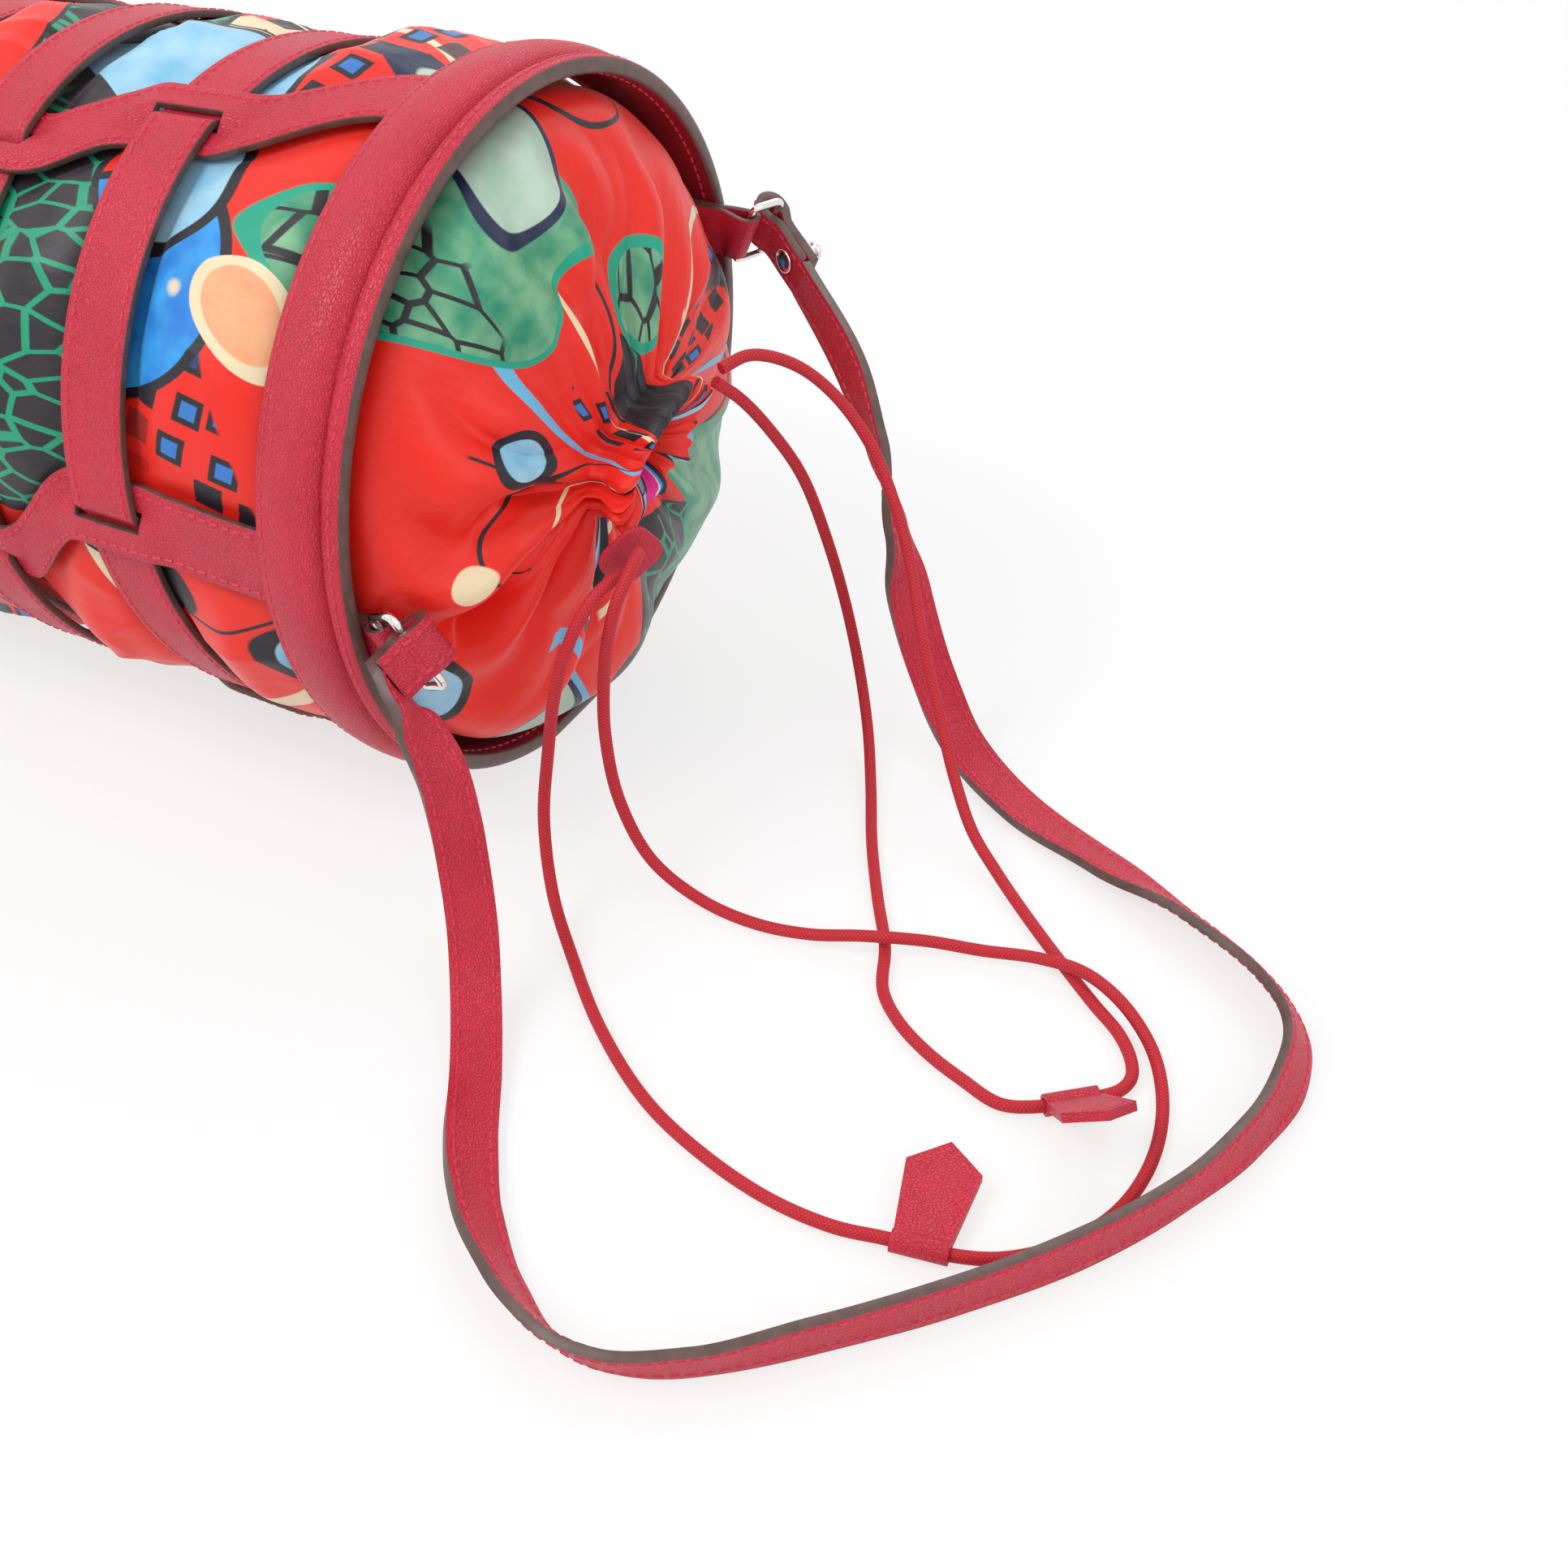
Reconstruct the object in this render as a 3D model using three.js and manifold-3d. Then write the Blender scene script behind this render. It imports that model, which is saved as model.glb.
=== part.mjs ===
// A drawstring pouch of printed silk inside a woven leather cage, lying on its side.
// Units are millimetres, +Z is up and the bag's axis runs along X with the mouth at +X.
// Every piece is first placed with the mouth plane at x = 0 and the floor at z = 0, and
// the whole group is then shifted so that its origin is the bottom centre of its box.
import * as THREE from 'three';
import { mergeVertices } from 'three/addons/utils/BufferGeometryUtils.js';
import Module from 'manifold-3d';

const wasm = await Module();
wasm.setup();

// Leather cage
const CAGE_LENGTH = 250;
const MOUTH_RADIUS = 104.4;
const BASE_RADIUS = 96;
const BAND_WIDTH = 22;
const BAND_THICKNESS = 2.4;
const WEAVE_GAP = 0.4;
const FIT_GAP = 0.3;
const FLAT_DEPTH = 1.2;
const SLIT_WIDTH = 5.2;
const SLIT_END_GAP = 1;
const SLIT_DEPTH = 8;
const BRAID_FADE = 12;
const HOOP_STEPS = 7;
// Each hoop's place as a share of the cage's length
const HOOP_SHARES = [0.32, 0.576, 0.812];
const HOOP_SLANTS = [9, 5, 2];
// Angles round the axis of each lengthwise strap at the rim, at each hoop and at the base
const STRAP_ANGLES = [
  [38, 50, 58, 60, 60],
  [100, 112, 121, 122, 122],
  [178, 177, 193, 194, 192],
  [236, 236, 250, 252, 251],
  [296, 296, 308, 310, 310],
  [346, 354, 364, 368, 368],
];

// Rim
const RING_STATIONS = 60;
const RIM_WIDTH = 28;
const RIM_CROWN = 4.4;
const BORDER_WIDTH = 5;
const BORDER_RISE = 0.6;
const STRAP_TUCK = 18;
const LINING_THICKNESS = 1.4;
const LINING_SETBACK = 1;

// Base cup
const BASE_WALL_HEIGHT = 20;
const BASE_WALL_THICKNESS = 2.2;
const BASE_FLOOR_THICKNESS = 3;
const BASE_EDGE_ROUND = 2;

// Silk pouch
const SILK_BULGE = 7;
const SILK_RIM_GAP = 4.8;
const SILK_DROOP = 10;
const DROOP_ANGLE = 45;
const DOME_HEIGHT = 34;
const PLEAT_DEPTH = 3.4;
const NECK_CENTRE = [-19.5, 15];
const NECK_HALF_LENGTH = 25;
const NECK_HALF_WIDTH = 9;
const NECK_ANGLE = 21.6;
const RUFFLE_HEIGHT = 14;
const RUFFLE_DEPTH = 2.4;
const WINDOW_COLUMNS = 7;

// Tabs and rings that carry the shoulder strap
const TAB_WIDTH = 18;
const TAB_THICKNESS = 1.4;
const TAB_TUCK = 14;
const RING_WIRE_RADIUS = 1.3;
const RING_INNER_LENGTH = 22;
const RING_INNER_WIDTH = 8;
const RING_CORNER_RADIUS = 2.2;
const RING_GAP = 0.4;
// Angle round the axis, cant of the ring, swing of the ring outward from straight ahead,
// whether the strap leaves it outward (1) or forward past the mouth (-1), how far the tab
// stands out of the mouth, and how far back the strap's folded end reaches
const ANCHORS = {
  right: { angle: 15, cant: 25, swing: 60, outward: -1, tabReach: 10, tail: 21 },
  left: { angle: 190, cant: 30, swing: 10, outward: 1, tabReach: 8, tail: 12 },
};
const TAB_CROTCH = 3;

// Shoulder strap
const STRAP_WIDTH = 14;
const STRAP_THICKNESS = 2.8;
const EYE_CLEARANCE = 0.9;
const EYE_PLAY = 3.4;
const EYE_CROTCH = 4.4;
const STRAP_STATIONS = 64;
// Route of the strap between its two ends: centre point, then the direction across it
const STRAP_ROUTE = [
  [22, -114, 88, 0.1, -0.75, 0.65],
  [28, -115.5, 82, -0.2, -0.95, 0.15],
  [33, -116, 72, -0.45, -0.85, -0.05],
  [36.3, -117, 57.5, -0.58, -0.65, 0.05],
  [38.5, -118.5, 42.5, -0.68, -0.58, 0.15],
  [42, -122.5, 26, -0.8, -0.5, 0.25],
  [48, -132, 11, -0.85, -0.5, 0.15],
  [59.5, -150, 3.6, -0.8, -0.6, 0.08],
  [73, -172, 4.4, -0.76, -0.5, 0.35],
  [88, -191, 6.6, -0.6, -0.5, 0.62],
  [106, -206, 7.6, -0.3, -0.5, 0.8],
  [124, -215, 7.9, 0, -0.45, 0.89],
  [140, -215, 7.8, 0.08, -0.4, 0.91],
  [158, -206, 7.7, 0.2, -0.21, 0.95],
  [180, -186, 7.6, 0.1, -0.1, 0.99],
  [205, -160, 7.6, 0.05, -0.05, 1],
  [227, -132, 7.4, 0, 0, 1],
  [242, -106, 7.4, 0, 0, 1],
  [252, -79, 7.6, -0.25, -0.05, 0.97],
  [255, -55, 7.2, -0.5, 0.05, 0.85],
  [251, -37, 7, -0.4, -0.3, 0.8],
  [238, -22, 6.9, -0.25, -0.55, 0.78],
  [211, -7, 6.4, -0.1, -0.7, 0.7],
  [180, 6, 4.2, -0.25, -0.9, 0.3],
  [147, 20, 3, -0.4, -0.9, 0.08],
  [121, 34, 9, -0.5, -0.85, -0.05],
  [107, 38, 30, -0.8, -0.6, -0.2],
  [99, 38, 53, -0.65, -0.7, 0],
  [91, 42, 76, 0.1, -0.95, 0.25],
  [79, 52, 97, 0.65, -0.6, 0.5],
  [62, 68, 111, 0.7, -0.35, 0.62],
];

// Stud of the strap's right end and the plate under its head
const STUD_POST_RADIUS = 1.5;
const STUD_HEAD_RADIUS = 3.2;
const STUD_HEAD_HEIGHT = 5;
const STUD_FLANGE_RADIUS = 4;
const STUD_FLANGE_THICKNESS = 1;
const STUD_PLACE = 13.5;
const PLATE_LENGTH = 12;
const PLATE_WIDTH = 11;
const PLATE_THICKNESS = 1.1;
const PLATE_CORNER = 2.5;

// Drawcords and their pull tabs
const CORD_DIAMETER = 3.6;
const CORD_SIDES = 8;
const CORD_STEP = 10.8;
const CORD_RIGHT_ROUTE = [
  [48.5, 10.6, 134.4], [53, 20, 135.5], [62, 30, 130], [72, 36.5, 119.5], [83.5, 38, 105], [93, 35, 90],
  [101, 30, 75], [111, 20, 54], [121, 12, 36], [131, 3, 21], [141, -5, 10], [152, -12, 4.2],
  [167, -24, 2.2], [184, -38, 2.1], [198, -49, 2.1], [207.5, -56, 2.1], [213.8, -63.5, 2.1],
  [216.4, -70, 2.4], [215.6, -76, 3], [212.4, -80.47, 3.4], [205.4, -86.3, 3.4], [198.4, -92.13, 3.4],
  [189, -95.3, 2.6], [176, -91.5, 2.1], [164, -87, 2.1], [152, -80, 2.1], [143, -71, 2.1],
  [136, -55, 2.1], [125, -37, 2.1],
  [113, -16, 2.2], [101, 8, 3.2], [91, 26, 10], [82, 37, 25], [74, 42, 45], [68, 40, 68],
  [63, 33, 92], [57.5, 23, 111], [52.5, 15, 123.5], [47.8, 8.4, 131.2],
];
const CORD_LEFT_ROUTE = [
  [50.4, -46.2, 100], [52, -54.5, 103], [51, -64.5, 102.5], [48.5, -70.5, 96], [45.5, -73.8, 86],
  [42, -75, 72], [38.5, -75.3, 52], [37.5, -79, 29],
  [44, -87, 10], [59, -101, 3], [81, -121, 2.1], [106, -138, 2.1], [129, -147, 2.1],
  [150, -151.5, 2.1], [168, -152, 2.6], [181.1, -149.8, 3.4], [190, -148.2, 3.4], [198.9, -146.6, 3.4],
  [209, -141.5, 2.6], [220, -131, 2.1], [228, -117, 2.1], [231, -102, 2.1], [230, -86, 2.1],
  [225, -70, 2.1], [217, -57, 2.8], [205, -48, 5.8], [192, -43, 7], [178, -42, 5.4],
  [162, -45, 3.8], [147, -51, 6], [131, -58, 6.8], [115, -62, 3.8], [98, -64, 2.4],
  [80, -64, 4.2], [64, -64, 13], [54, -64, 32], [50, -63, 54], [51, -63, 75], [54, -64, 90],
  [56.2, -62.5, 100.5], [57, -56.5, 107], [55.4, -50, 107.7], [52.6, -44.2, 105],
];
const PULL_TAB = { wrap: 15, shoulder: 20, reach: 24, point: 32, thickness: 2.6 };
const PULL_TAB_RIGHT = { at: [205.4, -86.3, 3.4], along: [0.768, 0.64, 0], fin: [0.27, -0.72, 0.63] };
const PULL_TAB_LEFT = { at: [190, -148.2, 3.4], along: [0.984, 0.177, 0], fin: [-0.1, 0.97, 0.08] };
const PULL_TAB_WALL = 1;

// Leather patch where the left cord leaves the silk
const PATCH = { width: 15, height: 17, thickness: 1.5, round: 5 };
const PATCH_PLACE = [48.75, -43, 102.85];
const PATCH_FACING = [0.75, -0.6, -0.1];

const radians = THREE.MathUtils.degToRad;
const clamp = THREE.MathUtils.clamp;
const lerp = THREE.MathUtils.lerp;
const smooth = THREE.MathUtils.smoothstep;
const vector = (list) => new THREE.Vector3(...list);

const leather = new THREE.MeshStandardMaterial({ color: 0xb3263c, roughness: 0.55 });
const liningLeather = new THREE.MeshStandardMaterial({ color: 0x7a1526, roughness: 0.6 });
const silk = new THREE.MeshStandardMaterial({ color: 0xe42016, roughness: 0.4 });
const cordYarn = new THREE.MeshStandardMaterial({ color: 0xcd1e2d, roughness: 0.7 });
const metal = new THREE.MeshStandardMaterial({ color: 0xd8d8d8, roughness: 0.15, metalness: 1 });

const HOOP_PLACES = HOOP_SHARES.map((share) => -share * CAGE_LENGTH);
const HALF_WEAVE = (BAND_THICKNESS + WEAVE_GAP) / 2;
const CORD_RADIUS = CORD_DIAMETER / 2;
const bag = new THREE.Group();
bag.name = 'drawstring_pouch';

function addPiece(name, geometry, material) {
  const mesh = new THREE.Mesh(geometry, material);
  mesh.name = name;
  bag.add(mesh);
  return mesh;
}

// The bag's round section, flat where it lies on the floor, and its height, both along x
function cageRadius(x) {
  return lerp(MOUTH_RADIUS, BASE_RADIUS, clamp(-x / CAGE_LENGTH, 0, 1));
}

function axisHeight(x) {
  const atMouth = MOUTH_RADIUS - FLAT_DEPTH + RIM_CROWN;
  const atBase = BASE_RADIUS - FLAT_DEPTH + BAND_THICKNESS / 2 + FIT_GAP + BASE_WALL_THICKNESS;
  return lerp(atMouth, atBase, clamp(-x / CAGE_LENGTH, 0, 1));
}

function flatRadius(x, angle) {
  const radius = cageRadius(x);
  const down = Math.max(-Math.sin(radians(angle)), 0.1);
  return Math.min(radius, (radius - FLAT_DEPTH) / down);
}

// A point at x, at an angle round the axis, and at a height above the cage's middle surface
function cagePoint(x, angle, rise) {
  const radius = flatRadius(x, angle) + rise;
  const y = radius * Math.cos(radians(angle));
  const z = axisHeight(x) + radius * Math.sin(radians(angle));
  return new THREE.Vector3(x, y, z);
}

function hoopCentre(hoop, angle) {
  return HOOP_PLACES[hoop] - HOOP_SLANTS[hoop] * Math.sin(radians(angle - 20));
}

// Stretches of a lengthwise strap that run straight along X: under the rim, under or over
// each hoop and in the base cup. Between them it swings to the next angle.
const SLIT_REACH = BAND_WIDTH / 2 + SLIT_END_GAP;

function straightStretches(strap) {
  const [atRim, ...others] = STRAP_ANGLES[strap];
  const stretches = [{ from: 0, to: -RIM_WIDTH - 1, angle: atRim }];
  HOOP_PLACES.forEach((_, hoop) => {
    const angle = others[hoop];
    const x = hoopCentre(hoop, angle);
    stretches.push({ from: x + SLIT_REACH, to: x - SLIT_REACH, angle });
  });
  stretches.push({ from: -CAGE_LENGTH + BASE_WALL_HEIGHT + 1, to: -CAGE_LENGTH, angle: others.at(-1) });
  return stretches;
}

const STRETCHES = STRAP_ANGLES.map((_, strap) => straightStretches(strap));

function strapAngle(strap, x) {
  const stretches = STRETCHES[strap];
  const next = stretches.findIndex((stretch) => x >= stretch.to);
  const here = stretches[next < 0 ? stretches.length - 1 : next];
  if (next <= 0 || x <= here.from) return here.angle;
  const before = stretches[next - 1];
  return lerp(before.angle, here.angle, smooth(before.to - x, 0, before.to - here.from));
}

// A closed solid over rings of points: ends are capped, or come to a pole, or join up
function ringSolid(rings, joined = false) {
  const positions = [];
  const indices = [];
  const starts = rings.map((ring) => {
    const start = positions.length / 3;
    ring.forEach((point) => positions.push(point.x, point.y, point.z));
    return start;
  });
  const spans = joined ? rings.length : rings.length - 1;
  for (let span = 0; span < spans; span += 1) {
    const next = (span + 1) % rings.length;
    const count = Math.max(rings[span].length, rings[next].length);
    for (let i = 0; i < count; i += 1) {
      const j = (i + 1) % count;
      const a = starts[span] + (rings[span].length > 1 ? i : 0);
      const b = starts[span] + (rings[span].length > 1 ? j : 0);
      const c = starts[next] + (rings[next].length > 1 ? j : 0);
      const d = starts[next] + (rings[next].length > 1 ? i : 0);
      if (a !== b) indices.push(a, b, c);
      if (c !== d) indices.push(a, c, d);
    }
  }
  if (!joined) {
    for (const [ring, start, turn] of [[rings[0], starts[0], 1], [rings.at(-1), starts.at(-1), -1]]) {
      for (let i = 1; i < ring.length - 1; i += 1) {
        indices.push(start, turn > 0 ? start + i + 1 : start + i, turn > 0 ? start + i : start + i + 1);
      }
    }
  }
  return closedGeometry(positions, indices);
}

// Turns the faces outward where the triangles enclose a negative volume
function closedGeometry(positions, indices) {
  const corner = (i) => vector([positions[3 * i], positions[3 * i + 1], positions[3 * i + 2]]);
  let volume = 0;
  for (let i = 0; i < indices.length; i += 3) {
    volume += corner(indices[i]).dot(corner(indices[i + 1]).cross(corner(indices[i + 2])));
  }
  const turned = volume < 0 ? [...indices].reverse() : indices;
  const geometry = new THREE.BufferGeometry();
  geometry.setAttribute('position', new THREE.Float32BufferAttribute(positions, 3));
  geometry.setIndex(turned);
  geometry.computeVertexNormals();
  return geometry;
}

function solidOf(geometry) {
  const bare = geometry.clone();
  bare.deleteAttribute('normal');
  bare.deleteAttribute('uv');
  const merged = mergeVertices(bare);
  const mesh = new wasm.Mesh({
    numProp: 3,
    vertProperties: new Float32Array(merged.attributes.position.array),
    triVerts: new Uint32Array(merged.index.array),
  });
  return new wasm.Manifold(mesh);
}

function geometryOf(solid) {
  const mesh = solid.getMesh();
  const geometry = new THREE.BufferGeometry();
  geometry.setAttribute('position', new THREE.Float32BufferAttribute(mesh.vertProperties, 3));
  geometry.setIndex(Array.from(mesh.triVerts));
  geometry.computeVertexNormals();
  return geometry;
}

function cut(geometry, cutters) {
  return geometryOf(cutters.reduce((solid, cutter) => solid.subtract(solidOf(cutter)), solidOf(geometry)));
}

// A ring of the cage from a profile of [x, rise] corners
function cageRing(profile, stations) {
  const rings = Array.from({ length: stations }, (_, station) => {
    const angle = (360 * station) / stations;
    return profile.map(([x, rise]) => cagePoint(x, angle, rise));
  });
  return ringSolid(rings, true);
}

// A block of the cage's wall between two places, two angles and two rises
function cageBlock(xs, angles, rises, stations = 6) {
  const rings = Array.from({ length: stations + 1 }, (_, station) => {
    const angle = lerp(angles[0], angles[1], station / stations);
    return [[0, 0], [0, 1], [1, 1], [1, 0]].map(([i, j]) => cagePoint(xs[i], angle, rises[j]));
  });
  return ringSolid(rings);
}

// How high a lengthwise strap's half rides at x where it crosses the hoops
function strapRise(strap, side, x) {
  const angle = strapAngle(strap, x);
  const segment = side > 0 ? strap : strap - 1;
  return HOOP_PLACES.reduce((rise, _, hoop) => {
    const off = Math.abs(x - hoopCentre(hoop, angle)) - SLIT_REACH;
    const hoopIsOver = Math.abs(segment + hoop) % 2 === 1;
    const sign = hoopIsOver ? -1 : 1;
    return rise + sign * HALF_WEAVE * (1 - smooth(off, 0, BRAID_FADE));
  }, 0);
}

function strapStations(strap) {
  const stretches = STRETCHES[strap];
  const stations = [-(RIM_WIDTH - STRAP_TUCK)];
  stretches.slice(1).forEach(({ from }, i) => {
    for (const share of [0, 0.25, 0.5, 0.75, 1]) stations.push(lerp(stretches[i].to, from, share));
  });
  return [...stations, -CAGE_LENGTH + BASE_FLOOR_THICKNESS + FIT_GAP];
}

function lengthwiseStrap(strap) {
  const across = [-BAND_WIDTH / 2, -SLIT_WIDTH / 2, SLIT_WIDTH / 2, BAND_WIDTH / 2];
  const rings = strapStations(strap).map((x) => {
    const place = (offset, lift) => {
      const angle = strapAngle(strap, x) + THREE.MathUtils.radToDeg(offset / cageRadius(x));
      return cagePoint(x, angle, strapRise(strap, Math.sign(offset), x) + lift);
    };
    const top = across.map((offset) => place(offset, BAND_THICKNESS / 2));
    const bottom = [...across].reverse().map((offset) => place(offset, -BAND_THICKNESS / 2));
    return [...top, ...bottom];
  });
  const slits = HOOP_PLACES.map((place, hoop) => {
    const { from, to, angle } = STRETCHES[strap][hoop + 1];
    const half = THREE.MathUtils.radToDeg(SLIT_WIDTH / 2 / cageRadius(place));
    return cageBlock([to, from], [angle - half, angle + half], [-SLIT_DEPTH, SLIT_DEPTH], 1);
  });
  return cut(ringSolid(rings), slits);
}

// A hoop keeps one side of the straps between two of them and changes side in each slit
function hoopBand(hoop) {
  const stations = [];
  STRAP_ANGLES.forEach((_, strap) => {
    const after = (strap + 1) % STRAP_ANGLES.length;
    const turn = after === 0 ? 360 : 0;
    const here = STRETCHES[strap][hoop + 1].angle;
    const there = STRETCHES[after][hoop + 1].angle + turn;
    const slitHalf = THREE.MathUtils.radToDeg((SLIT_WIDTH / 2 - FIT_GAP) / cageRadius(HOOP_PLACES[hoop]));
    const rise = (strap + hoop) % 2 === 1 ? HALF_WEAVE : -HALF_WEAVE;
    for (let step = 0; step <= HOOP_STEPS; step += 1) {
      stations.push([lerp(here + slitHalf, there - slitHalf, step / HOOP_STEPS), rise]);
    }
  });
  const rings = stations.map(([angle, rise]) => {
    const x = hoopCentre(hoop, angle);
    const half = BAND_WIDTH / 2;
    return [[x - half, 1], [x + half, 1], [x + half, -1], [x - half, -1]]
      .map(([at, face]) => cagePoint(at, angle, rise + (face * BAND_THICKNESS) / 2));
  });
  return ringSolid(rings, true);
}

const RIM_INNER = -BAND_THICKNESS / 2 - FIT_GAP;
const LINING_OUTER = RIM_INNER - FIT_GAP;
const LINING_INNER = LINING_OUTER - LINING_THICKNESS;

function rimBand() {
  const w = RIM_WIDTH;
  const b = BORDER_WIDTH;
  const profile = [
    [-w, RIM_INNER], [-w, RIM_CROWN * 0.5], [-w + 4, RIM_CROWN * 0.85], [-w + 11, RIM_CROWN],
    [-b - 4.5, RIM_CROWN * 0.86], [-b, BORDER_RISE], [0, BORDER_RISE], [0, RIM_INNER],
  ];
  const pockets = STRAP_ANGLES.map((_, strap) => {
    const x = -RIM_WIDTH / 2;
    const half = THREE.MathUtils.radToDeg((BAND_WIDTH / 2 + 2) / cageRadius(x));
    const angle = strapAngle(strap, x);
    const ends = [-RIM_WIDTH - 2, -(RIM_WIDTH - STRAP_TUCK) + FIT_GAP];
    return cageBlock(ends, [angle - half, angle + half], [RIM_INNER - 2, BAND_THICKNESS / 2 + FIT_GAP]);
  });
  return cut(cageRing(profile, RING_STATIONS), pockets);
}

function rimLining() {
  const back = -RIM_WIDTH + LINING_SETBACK;
  const profile = [[back, LINING_OUTER], [0, LINING_OUTER], [0, LINING_INNER], [back, LINING_INNER]];
  return cageRing(profile, RING_STATIONS);
}

function baseCup() {
  const inner = BAND_THICKNESS / 2 + FIT_GAP;
  const outer = inner + BASE_WALL_THICKNESS;
  const x = -CAGE_LENGTH;
  const profile = [
    [x, outer - BASE_EDGE_ROUND], [x + BASE_EDGE_ROUND, outer], [x + BASE_WALL_HEIGHT, outer],
    [x + BASE_WALL_HEIGHT, inner], [x + BASE_FLOOR_THICKNESS, inner],
  ];
  const rings = profile.map(([at, rise]) => Array.from({ length: RING_STATIONS }, (_, station) => {
    return cagePoint(at, (360 * station) / RING_STATIONS, rise);
  }));
  const pole = (at) => [new THREE.Vector3(at, 0, axisHeight(at))];
  return ringSolid([pole(x), ...rings, pole(x + BASE_FLOOR_THICKNESS)]);
}

// Columns of the silk: the two edges and the middle of each strap, and the window after it
function silkColumns() {
  const columns = [];
  STRAP_ANGLES.forEach((_, strap) => {
    for (const edge of [-1, 0, 1]) columns.push({ strap, edge, share: 0 });
    for (let step = 1; step <= WINDOW_COLUMNS; step += 1) {
      columns.push({ strap, edge: 1, share: step / (WINDOW_COLUMNS + 1) });
    }
  });
  return columns;
}

function columnAngle(column, x) {
  const half = THREE.MathUtils.radToDeg((BAND_WIDTH / 2 + 1) / cageRadius(x));
  const after = (column.strap + 1) % STRAP_ANGLES.length;
  const turn = after === 0 ? 360 : 0;
  const start = strapAngle(column.strap, x) + column.edge * half;
  const end = strapAngle(after, x) + turn - half;
  return column.share > 0 ? lerp(start, end, column.share) : start;
}

const SILK_PINNED = Math.min(-HALF_WEAVE - BAND_THICKNESS / 2, LINING_INNER) - FIT_GAP;

function bodyRing(columns, place, swell, pinned = SILK_PINNED) {
  return columns.map((column) => {
    const angle = columnAngle(column, place(0));
    const x = place(angle);
    const open = Math.sin(Math.PI * column.share) ** 0.6;
    const point = cagePoint(x, columnAngle(column, x), pinned + SILK_BULGE * swell * open);
    point.z = Math.max(point.z, FIT_GAP);
    return point;
  });
}

// How much further the silk draws back from the rim on its slack side
function droop(angle) {
  return SILK_DROOP * Math.max(Math.cos(radians(angle - DROOP_ANGLE)), 0) ** 2;
}

function domeRing(columns, blend, forward, pleat) {
  return columns.map((column, index) => {
    const angle = columnAngle(column, 0);
    const wave = Math.cos((Math.PI * index) / 2);
    const outer = cageRadius(0) + LINING_INNER - SILK_RIM_GAP;
    const [neckY, neckZ] = NECK_CENTRE;
    const along = radians(angle - NECK_ANGLE);
    const u = (NECK_HALF_LENGTH + RUFFLE_DEPTH * wave * blend) * Math.cos(along);
    const v = (NECK_HALF_WIDTH + RUFFLE_DEPTH * wave * blend) * Math.sin(along);
    const turn = radians(NECK_ANGLE);
    const y = lerp(outer * Math.cos(radians(angle)), neckY + u * Math.cos(turn) - v * Math.sin(turn), blend);
    const z = lerp(outer * Math.sin(radians(angle)), neckZ + u * Math.sin(turn) + v * Math.cos(turn), blend);
    const back = droop(angle) * (1 - blend);
    return new THREE.Vector3(forward - back + pleat * wave, y, axisHeight(0) + z);
  });
}

function neckRing(columns, size, forward, ruffle) {
  const turn = radians(NECK_ANGLE);
  return columns.map((column, index) => {
    const along = radians(columnAngle(column, 0) - NECK_ANGLE);
    const wave = ruffle * RUFFLE_DEPTH * Math.cos((Math.PI * index) / 2);
    const u = (NECK_HALF_LENGTH * size + wave) * Math.cos(along);
    const v = (NECK_HALF_WIDTH * size + wave) * Math.sin(along);
    const y = NECK_CENTRE[0] + u * Math.cos(turn) - v * Math.sin(turn);
    const z = NECK_CENTRE[1] + u * Math.sin(turn) + v * Math.cos(turn);
    return new THREE.Vector3(forward, y, axisHeight(0) + z);
  });
}

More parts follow.
